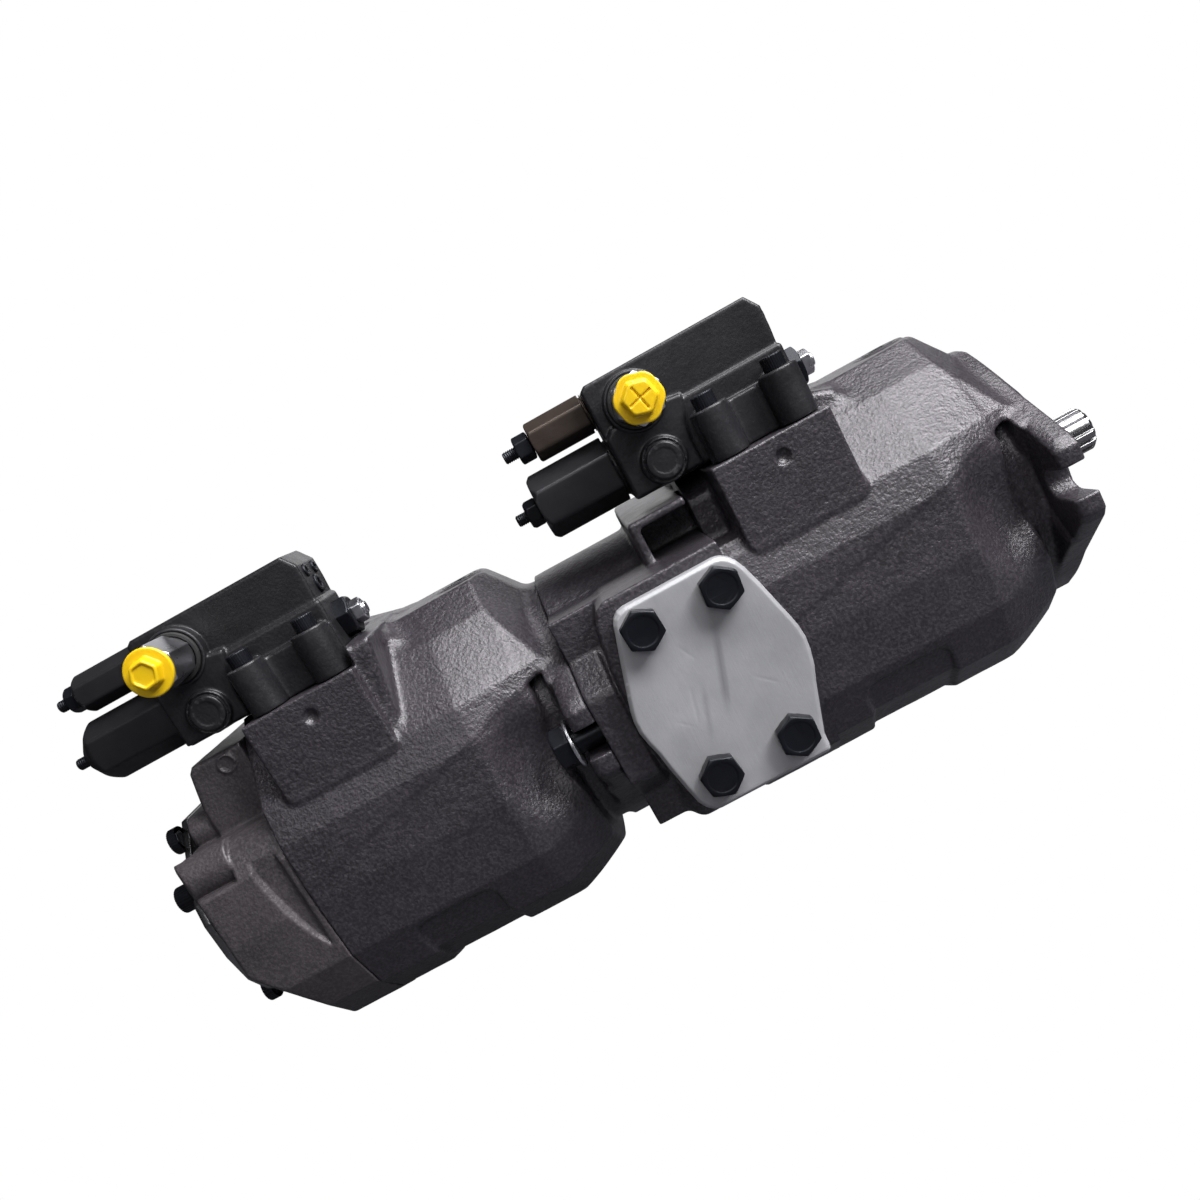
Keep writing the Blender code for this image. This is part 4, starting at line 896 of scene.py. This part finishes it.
def valve_block(x, y, z):
    body = extrude(poly(x, z, VALVE_TOP) - 0.8, y, (-52.5, -19.2), 1.4)
    lower = box(x, y, z, (-168.3, -83.0), (-54, -18), (77.6, 107.6), 1.8)
    body = join(body, lower, 0.7)
    # pad on -Y round the fitting and the plug
    body = join(body, extrude(poly(x, z, VALVE_PAD) - 0.8, y, (-57.2, -48), 1.5), 1.2)
    # foot with its four screw columns, notched between them
    foot = box(x, y, z, (-131.5, -84.5), (-60.2, -9.8), (SOLE_Z, 96.8), 1.4)
    body = join(body, foot, 1.0)
    for centre in VALVE_SCREWS:
        body = join(body, rod(x, y, z, centre, 8.8, (SOLE_Z, 98.7), 0.7), 1.6)
    body = cut(body, box(x, y, z, (-114.5, -101.0), (-75, -59.4), (70, 110), 1.6), 1.2)
    body = cut(body, rod(x, y, z, (-136.5, -66), 5.0, (60, 99), 0.3), 1.2)
    # seats of the fitting and the round plug
    body = join(body, rod(x, z, y, FITTING, 13.2, (-58.6, -45), 1.0), 0.8)
    body = cut(body, np.maximum(radial(x, z, FITTING) - 11.9, y + 57.9), 0.3)
    body = join(body, rod(x, z, y, PLUG, 10.0, (-59.5, -48), 0.9), 1.2)
    body = cut(body, np.maximum(np.abs(radial(x, z, PLUG) - 8.6) - 0.35, y + 59.0), 0.2)
    body = cut(body, rod(x, z, y, FITTING, 5.2, (-62, -45), 0.2), 0.3)
    # adjuster bores and the flat sole
    for height, radius in ((UPPER_Z, 5.0), (LOWER_Z, 6.0)):
        bore = np.maximum(radial(y, z, (VALVE_Y, height)) - radius, slab(x, (-200, -100)))
        body = cut(body, bore, 0.3)
    return meet(body, SOLE_Z - z, 0.2)


def round_plug(x, y, z):
    body = rod(x, z, y, PLUG, 8.1, (-61.2, -50), 0.9)
    return cut(body, np.maximum(radial(x, z, PLUG) - 5.4, y + 60.9), 0.4)


def end_plug(x, y, z):
    bar = hex_bar(y, z, END_AXIS, 16.9, 0.3, 0.4)
    body = capped(bar, radial(y, z, END_AXIS), x, (-83.6, -76.2), None, 1.6, 8.2)
    return cut(body, np.maximum(hex_bar(y, z, END_AXIS, 6.0, 0.1, 0.2), -(x + 74)), 0.2)


def end_nut(x, y, z):
    bar = hex_bar(y, z, END_AXIS, 10.2, 0.0, 0.3)
    body = capped(bar, radial(y, z, END_AXIS), x, (-76.4, -71.4), None, 1.6, 5.0)
    return join(body, rod(y, z, x, END_AXIS, 3.0, (-77, -70.0), 0.5), 0.3)


def block_plug(centre, radius, base=-84.2):
    """Socket plug in the upper block's +X end."""
    def field(x, y, z):
        body = rod(y, z, x, centre, radius, (base - 3, base + 1.5), 0.5)
        socket = hex_bar(y, z, centre, radius * 0.95, 0.2, 0.1)
        return cut(body, np.maximum(socket, base - 0.4 - x), 0.2)
    return field


def valve_screw(centre, turn):
    def field(x, y, z):
        body = extrude(knurled(x, y, centre, 5.0, 0.10, 30), z, (98.4, 104.9), 0.6)
        socket = hex_bar(x, y, centre, 5.0, turn, 0.15)
        return cut(body, np.maximum(socket, 101.2 - z), 0.2)
    return field


def fitting(x, y, z):
    r = radial(x, z, FITTING)
    bar = hex_bar(x, z, FITTING, 19.6, radians(45), 0.4)
    body = capped(bar, r, y, (-87.0, -63.0), 1.8, 1.8, 9.9)
    body = join(body, rod(x, z, y, FITTING, 9.6, (-64, -60.3), 0.4), 0.5)
    body = np.minimum(body, rod(x, z, y, FITTING, 4.7, (-62, -50), 0.4))
    return cut(body, r - 3.5, 0.3)


def yellow_cap(front):
    """Cap on the fitting: the front one has a hexagon rim and a cross slot, the rear a socket."""
    turn = radians(15 if front else 38)

    def field(x, y, z):
        rim = extrude(radial(x, z, FITTING) - 10.6, y, (-89.6, -87.3), 0.7)
        if front:
            rim = meet(rim, hex_bar(x, z, FITTING, 20.0, turn, 1.6), 0.4)
        draft = (y + 89.6) * 0.10
        head = hex_bar(x, z, FITTING, 13.6 if front else 12.6, turn, 1.1) - draft
        body = join(extrude(head, y, (-94.8, -88.5), 0.8), rim, 0.7)
        if front:
            a = (x - FIT_X) * cos(turn) + (z - FIT_Z) * sin(turn)
            b = -(x - FIT_X) * sin(turn) + (z - FIT_Z) * cos(turn)
            a, b = np.abs(a), np.abs(b)
            cross = np.minimum(np.maximum(a - 0.45, b - 5.2), np.maximum(b - 0.45, a - 5.2))
            body = cut(body, np.maximum(cross, y + 94.0), 0.25)
        else:
            socket = hex_bar(x, z, FITTING, 8.6, turn, 1.0)
            body = cut(body, np.maximum(socket, y + 94.1), 0.5)
        return np.minimum(body, rod(x, z, y, FITTING, 3.1, (-88, -79.0), 0.5))
    return field


def build_valve(end, origin):
    small(f"{end}_valve_block", valve_block, ((-170.5, -80), (-73, 3), (73.5, 133.5)), 0.72,
          "valve_black", replaces=(f"{end}_valve_body",), keep=0.5, rough=0.05, origin=origin)
    small(f"{end}_round_plug", round_plug, (about(PLUG_X, 10), (-63, -49), about(PLUG_Z, 10)),
          0.45, "valve_black", origin=origin)
    small(f"{end}_end_plug", end_plug, ((-86, -74), about(VALVE_Y, 12), (82, 106)), 0.42,
          "valve_black", mat=BOLT, origin=origin)
    small(f"{end}_end_nut", end_nut, ((-78, -69), about(VALVE_Y, 8), (86, 102)), 0.35,
          "plated_steel", origin=origin)
    for i, (y, z, radius) in enumerate(BLOCK_PLUGS):
        small(f"{end}_block_plug_{i + 1}", block_plug((y, z), radius),
              ((-90, -79), about(y, 6), about(z, 6)), 0.34, "valve_black", mat=BOLT,
              origin=origin)
    for i, (x, y) in enumerate(VALVE_SCREWS):
        small(f"{end}_valve_screw_{i + 1}", valve_screw((x, y), 0.3 + i),
              (about(x, 6.5), about(y, 6.5), (97, 106.5)), 0.34, "valve_black", mat=BOLT,
              origin=origin)
    small(f"{end}_fitting_hex", fitting, (about(FIT_X, 13), (-88.5, -48.5), about(FIT_Z, 13)),
          0.46, "plated_steel", replaces=(f"{end}_pilot_fitting",), origin=origin)
    lathe(f"{end}_fitting_seal", SEAL_RING, "y", (origin + FIT_X, FIT_Z), 40, "plated_steel",
          RUBBER)
    small(f"{end}_cap_yellow", yellow_cap(end == "front"),
          (about(FIT_X, 12), (-96, -78), about(FIT_Z, 12)), 0.40, "yellow_plastic",
          replaces=(f"{end}_pilot_cap",), body=f"{end}_cap_body", origin=origin)


for end, origin in PUMPS.items():
    build_valve(end, origin)

# ------------------------------------------------------------------- suction cover
# outline in (x from the port, z)
COVER_EDGE = [
    (-20.4, 46.0), (-23.7, 45.3), (-26.1, 43.4), (-27.6, 41.0), (-28.9, 36.7), (-32.1, 26.7),
    (-36.2, 13.8), (-38.5, 6.2), (-39.5, 1.4), (-39.7, -4.2), (-38.6, -10.2), (-37.2, -15.5),
    (-36.0, -23.5), (-34.0, -34.0), (-32.0, -43.0), (-29.9, -46.6), (-27.2, -48.9), (-24.5, -49.7),
    (26.3, -49.7), (27.8, -48.8), (28.2, -46.8), (28.4, -41.6), (29.2, -39.1), (31.2, -32.7),
    (35.0, -20.5), (37.6, -13.5), (39.1, -6.8), (39.7, -1.0), (39.2, 4.5), (38.0, 9.9),
    (35.8, 18.1), (33.2, 28.0), (30.5, 36.7), (28.7, 40.6), (26.4, 43.4), (23.6, 45.3),
    (20.8, 46.0)]
COVER_FACE = 97.3                       # the outer face lies at y = -COVER_FACE
# shallow dents in the face: start x, z, end x, z, depth, radius
DENTS = [(8.0, 18.0, -1.5, -11.0, 0.16, 3.4), (-9.0, 22.0, -4.0, 12.0, 0.05, 1.6),
         (12.0, -4.0, 22.0, -13.0, 0.06, 1.6), (-25.0, -6.0, -17.0, -13.0, 0.05, 1.4),
         (-12.0, 4.0, -16.0, -12.0, 0.10, 2.6)]
# bolts: side in x, side in z, turn of the head
COVER_BOLTS = [(-1, 1, 0.06), (1, 1, -0.10), (-1, -1, 0.16), (1, -1, -0.05)]


def dent_line(a, z, x0, z0, x1, z1):
    """Distance to a dent's line, larger at its ends."""
    run, rise = x1 - x0, z1 - z0
    share = np.clip(((a - x0) * run + (z - z0) * rise) / (run * run + rise * rise), 0, 1)
    distance = np.sqrt((a - x0 - run * share) ** 2 + (z - z0 - rise * share) ** 2)
    return distance + 1.2 * np.abs(2 * share - 1) ** 3


def cover_field(x, y, z):
    a = x - PORT_X
    outline = poly(a, z, COVER_EDGE)
    body = extrude(outline, y, (-COVER_FACE, -90.3), 0.3)
    body = meet(body, (outline - (y + COVER_FACE) + 1.5) * 0.7071, 0.35)
    for i, j in CORNERS:
        r = radial(a, z, (i * COVER_BOLT_X, j * COVER_BOLT_Z))
        hole = np.maximum(r - 6.5, (r - 7.2) * 0.7 + (y + COVER_FACE) * 0.7)
        body = cut(body, hole, 0.2)
    for *line, depth, radius in DENTS:
        off = dent_line(a, z, *line)
        dent = np.sqrt(off * off + (y + COVER_FACE + radius - depth) ** 2) - radius
        body = cut(body, dent, 0.25)
    return body


def streak(mat, start, end, width, strength):
    """Dark streak on a face that looks along -Y; start and end are (x, z) from the port."""
    sh = Shader(mat)
    base = sh.surface["Base Color"]
    paint = base.links[0].from_socket
    (x0, z0), (x1, z1) = start, end
    split = sh.new("ShaderNodeSeparateXYZ")
    sh.links.new(sh.coords, split.inputs[0])
    length = math.hypot(x1 - x0, z1 - z0)
    run, rise = (x1 - x0) / length, (z1 - z0) / length
    mid_x, mid_z = ((x0 + x1) / 2 + PORT_X + FLANGE_X) * MM, (z0 + z1) * MM / 2

    def fade(to_x, to_z, inner, outer):
        """1 within inner of the middle along a direction, 0 beyond outer."""
        part = sh.math("MULTIPLY_ADD", split.outputs["X"], to_x, -(to_x * mid_x + to_z * mid_z))
        offset = sh.math("ABSOLUTE", sh.math("MULTIPLY_ADD", split.outputs["Z"], to_z, part))
        node = sh.new("ShaderNodeMapRange")
        for socket, value in (("From Min", inner * MM), ("From Max", outer * MM),
                              ("To Min", 1.0), ("To Max", 0.0), ("Value", offset)):
            sh.feed(node.inputs[socket], value)
        return node.outputs["Result"]

    both = sh.math("MULTIPLY", fade(rise, -run, 0.0, width),
                   fade(run, rise, length * 0.25, length * 0.6))
    mix = sh.new("ShaderNodeMixRGB")
    mix.blend_type = "MULTIPLY"
    sh.feed(mix.inputs["Fac"], sh.math("MULTIPLY", both, strength))
    sh.feed(mix.inputs["Color1"], paint)
    sh.feed(mix.inputs["Color2"], (0.25, 0.24, 0.26))
    sh.feed(base, mix.outputs["Color"])


def cover_bolt(centre, turn):
    def field(x, y, z):
        r = radial(x, z, centre)
        bar = hex_bar(x, z, centre, 16.4, turn, 0.35)
        body = capped(bar, r, y, (-104.8, -98.1), 1.9, None, 8.1)
        body = cut(body, np.maximum(r - 6.3, y + 104.55), 0.5)
        body = np.minimum(body, rod(x, z, y, centre, 8.2, (-99, -97.6), 0.2))
        thread = (r - (5.9 - 0.6 * zigzag(y / 1.75))) * 0.8
        return np.minimum(body, np.maximum(thread, slab(y, (-98, -71.5))))
    return field


streak(PLATE, start=(8.0, 20.0), end=(-2.5, -12.0), width=2.2, strength=0.55)
streak(PLATE, start=(-7.0, 2.0), end=(-14.0, -20.0), width=1.8, strength=0.28)
small("suction_cover_milled", cover_field, (about(PORT_X, 41.5), (-98.6, -89), (-51.5, 47.8)),
      0.5, "cover_grey", replaces=("suction_cover_plate",), keep=0.35, rough=0.03)
for i, (side_x, side_z, turn) in enumerate(COVER_BOLTS):
    x, z = PORT_X + side_x * COVER_BOLT_X, side_z * COVER_BOLT_Z
    small(f"suction_cover_bolt_{i + 1}_head", cover_bolt((x, z), turn),
          (about(x, 11.5), (-106, -70), about(z, 11.5)), 0.44, "black_oxide",
          replaces=(f"suction_cover_bolt_{i + 1}",), keep=0.5)

# ------------------------------------------------------ bolts that join the pumps
WASHER_X = REAR_X - 13.0
# washer section in (radius, x)
WASHER = [(6.3, WASHER_X), (11.0, WASHER_X), (11.3, WASHER_X - 0.3), (11.3, WASHER_X - 1.4),
          (11.0, WASHER_X - 1.7), (6.3, WASHER_X - 1.7)]


def flange_bolt(y_axis):
    centre = y_axis, 0

    def field(x, y, z):
        seat = WASHER_X - 1.8
        bar = hex_bar(y, z, centre, 18.0, 0.1, 0.35)
        head = capped(bar, radial(y, z, centre), x, (seat - 8.0, seat), 1.9, None, 8.7)
        return np.minimum(head, rod(y, z, x, centre, 5.9, (seat - 2, REAR_X + 22.5), 0.4))
    return field


for name, side in (("near", -1), ("far", 1)):
    y_axis = side * FLANGE_BOLT_Y
    small(f"flange_bolt_{name}_hex", flange_bolt(y_axis),
          ((REAR_X - 25, REAR_X + 24), about(y_axis, 12), (-12, 12)), 0.5, "black_oxide",
          replaces=(f"flange_bolt_{name}",), keep=0.5)
    lathe(f"flange_washer_{name}", WASHER, "x", (y_axis, 0), 48, "bright_steel", ZINC)

# ------------------------------------------------------------------- drive shaft
SPLINE_ROOT, SPLINE_DEPTH, SPLINE_TEETH = 9.35, 1.75, 13
SHAFT_RADIUS = 12.0
CENTRE_DRILL = 1.9
# sections in (radius, x)
INNER_SHAFT = [(0.4, -29.2), (12.5, -29.2), (12.5, -176), (11.9, -177), (0.4, -177)]
SEAL_LIP = [(15.2, -3.4), (16.2, -1.4), (17.4, -1.2), (18.6, -2.4), (20.6, -2.4), (21.4, -1.0),
            (23.7, -0.8), (23.7, -8.8), (20.0, -8.8), (18.2, -6.5), (16.4, -6.5)]


def shaft_field(x, y, z):
    r = radial(y, z)
    wave = np.cos(SPLINE_TEETH * angle(y, z) + 0.6)
    tooth = np.clip(0.5 + wave * 1.15, 0, 1)
    tooth = tooth * tooth * (3 - 2 * tooth)
    # the spline runs out into the round shaft
    run = np.clip((x - 13.0) / 3.5, 0, 1)
    radius = SPLINE_ROOT + SPLINE_DEPTH * tooth
    radius = radius + ((SHAFT_RADIUS - SPLINE_ROOT - SPLINE_DEPTH * tooth) * (1 - run)
                       * np.where(tooth > 0.5, 0.3, 1.0))
    body = np.maximum((r - radius) * 0.62, slab(x, (12.0, SHAFT_END)))
    body = meet(body, (r - 11.1 + (x - SHAFT_END + 1.6) * 0.9) * 0.74, 0.25)
    body = np.minimum(body, rod(y, z, x, (0, 0), SHAFT_RADIUS, (-1.5, 14.5), 0.8))
    body = np.minimum(body, rod(y, z, x, (0, 0), 15.0, (-29, -2.0), 0.5))
    drill = r - CENTRE_DRILL - np.maximum(x - SHAFT_END + 2.6, 0)
    return cut(body, np.maximum(drill, SHAFT_END - 9 - x), 0.2)


small("drive_shaft_spline", shaft_field, ((-31, SHAFT_END + 1.5), (-16.5, 16.5), (-16.5, 16.5)),
      0.42, "bright_steel", replaces=("drive_shaft",), body="front_rotor")
lathe("drive_shaft_inner", INNER_SHAFT, "x", (0, 0), 64, "bright_steel", body="front_rotor")
lathe("shaft_seal_lip", SEAL_LIP, "x", (0, 0), 72, "seal_rubber", replaces=("shaft_seal",))


# ------------------------------------------------------------------- drain plugs
def drain_plug(x, y, z):
    centre = DRAIN_X, 0
    r = radial(x, y, centre)
    body = extrude(r - 8.9, z, (72.0, 81.6), 0.9)
    body = cut(body, np.maximum(hex_bar(x, y, centre, 8.0, 0.2, 0.2), 76.5 - z), 0.3)
    return cut(body, np.maximum(np.abs(r - 7.2) - 0.3, 81.2 - z), 0.2)


for end, origin in PUMPS.items():
    small(f"{end}_drain_plug_socket", drain_plug, (about(DRAIN_X, 10), (-10, 10), (70.5, 83)),
          0.42, "black_oxide", replaces=(f"{end}_drain_plug",), origin=origin)

# ------------------------------------------------------------------- rear cover
COVER_END = -435.4
REAR_SCREWS = [(side * y, z) for side in (1, -1) for y, z in
               ((-51.0, 17.0), (-37.5, -44.5), (-33.0, 40.0))]


def rear_cover(x, y, z):
    outline = poly(y, z, RIM)
    body = extrude(outline, x, (COVER_END, -431.3), 0.4)
    body = meet(body, (outline + (COVER_END - x) + 0.9) * 0.7071, 0.3)
    r = radial(y, z)
    body = cut(body, np.maximum(np.abs(r - 29.5) - 0.5, x + 435.1), 0.2)
    return cut(body, np.maximum(r - 5.0, x + 433.5), 0.3)


def rear_screw(centre, turn):
    head = -442.4 if abs(centre[1]) < 20 else -439.0

    def field(x, y, z):
        body = extrude(knurled(y, z, centre, 6.4, 0.12, 32), x, (head, head + 9.5), 0.7)
        socket = hex_bar(y, z, centre, 8.0, turn, 0.2)
        return cut(body, np.maximum(socket, x - head - 4.5), 0.25)
    return field


small("rear_cover_disc", rear_cover, ((-437, -430), (-64, 64), (-61, 48.5)), 0.55,
      "bright_steel", replaces=("rear_cover",), keep=0.4)
for i, (y, z) in enumerate(REAR_SCREWS):
    small(f"rear_cover_screw_{i + 1}", rear_screw((y, z), 0.25 * i),
          ((-446.5, -434), about(y, 8), about(z, 8)), 0.38, "bright_steel", mat=BOLT)


# -------------------------------------------------------------------- stage, light, camera
def coloured(tree, kind, colour, strength=None):
    node = tree.nodes.new(kind)
    node.inputs["Color"].default_value = (*colour, 1)
    if strength is not None:
        node.inputs["Strength"].default_value = strength
    return node


def camera_switch(tree, output, lit, seen):
    """Show seen to the camera and lit to every other ray."""
    out = tree.nodes.new(output)
    rays = tree.nodes.new("ShaderNodeLightPath")
    mix = tree.nodes.new("ShaderNodeMixShader")
    tree.links.new(rays.outputs["Is Camera Ray"], mix.inputs[0])
    tree.links.new(lit.outputs[0], mix.inputs[1])
    tree.links.new(seen.outputs[0], mix.inputs[2])
    tree.links.new(mix.outputs[0], out.inputs["Surface"])


def build_floor():
    mesh = bpy.data.meshes.new("floor")
    edit = bmesh.new()
    bmesh.ops.create_grid(edit, x_segments=2, y_segments=2, size=14.0)
    edit.to_mesh(mesh)
    edit.free()
    floor = bpy.data.objects.new("floor", mesh)
    floor.location = (-0.25, 0, -0.30)
    bpy.context.scene.collection.objects.link(floor)
    mat = bpy.data.materials.new("floor_pale")
    mat.use_nodes = True
    tree = mat.node_tree
    tree.nodes.clear()
    camera_switch(tree, "ShaderNodeOutputMaterial",
                  lit=coloured(tree, "ShaderNodeBsdfDiffuse", (0.10, 0.10, 0.11)),
                  seen=coloured(tree, "ShaderNodeEmission", (1, 1, 1), strength=1.0))
    mesh.materials.append(mat)


def build_world():
    world = bpy.data.worlds.new("studio")
    bpy.context.scene.world = world
    world.use_nodes = True
    tree = world.node_tree
    tree.nodes.clear()
    camera_switch(tree, "ShaderNodeOutputWorld",
                  lit=coloured(tree, "ShaderNodeBackground", (0.9, 0.92, 1.0), strength=0.05),
                  seen=coloured(tree, "ShaderNodeBackground", (1, 1, 1), strength=1.0))


AIM_X = FLANGE_X * MM - 0.21            # metres, as are all lengths from here on


def softbox(name, offset, size, power, aim_z=0):
    """Rectangular light at an offset from the point (AIM_X, 0, 0)."""
    light = bpy.data.lights.new(name, "AREA")
    light.shape = "RECTANGLE"
    light.size, light.size_y = size
    light.energy = power
    obj = bpy.data.objects.new(name, light)
    bpy.context.scene.collection.objects.link(obj)
    obj.location = (AIM_X + offset[0], offset[1], offset[2])
    to_aim = Vector((AIM_X, 0, aim_z)) - Vector((AIM_X + offset[0], offset[1], offset[2]))
    obj.rotation_mode = "QUATERNION"
    obj.rotation_quaternion = to_aim.to_track_quat("-Z", "Y")
    return obj


def build_camera():
    yaw, pitch = radians(-3.86), radians(-11.58)
    forward = Vector((sin(yaw) * cos(pitch), cos(yaw) * cos(pitch), sin(pitch)))
    right = Vector((cos(yaw), -sin(yaw), 0))
    up = right.cross(forward)
    # a small roll, then the large one that lays the pump across the view
    for roll in (radians(-1.70), radians(-27.5)):
        right, up = right * cos(roll) + up * sin(roll), -right * sin(roll) + up * cos(roll)
    data = bpy.data.cameras.new("camera")
    camera = bpy.data.objects.new("camera", data)
    bpy.context.scene.collection.objects.link(camera)
    data.sensor_width = 36
    data.lens = 32.577
    data.shift_x = -0.0065
    data.shift_y = 0.0602
    data.clip_start, data.clip_end = 0.02, 60
    camera.rotation_mode = "QUATERNION"
    camera.rotation_quaternion = Matrix((right, up, -forward)).transposed().to_quaternion()
    camera.location = Vector((FLANGE_X * MM - 0.1840, -0.5318, 0.1149))
    bpy.context.scene.camera = camera


build_floor()
build_world()
softbox("key_softbox", offset=(1.30, -0.85, 1.15), size=(0.9, 0.8), power=48, aim_z=0.02)
softbox("top_softbox", offset=(0.55, -0.35, 1.45), size=(1.4, 0.9), power=30)
softbox("front_fill", offset=(-0.2, -1.9, 1.0), size=(1.2, 0.8), power=7)
back = softbox("back_softbox", offset=(0.25, 2.0, 0.62), size=(2.6, 0.8), power=8)
back.visible_camera = False
build_camera()
view = bpy.context.scene.view_settings
view.view_transform = "Standard"
view.look = "None"
view.exposure = 0.0
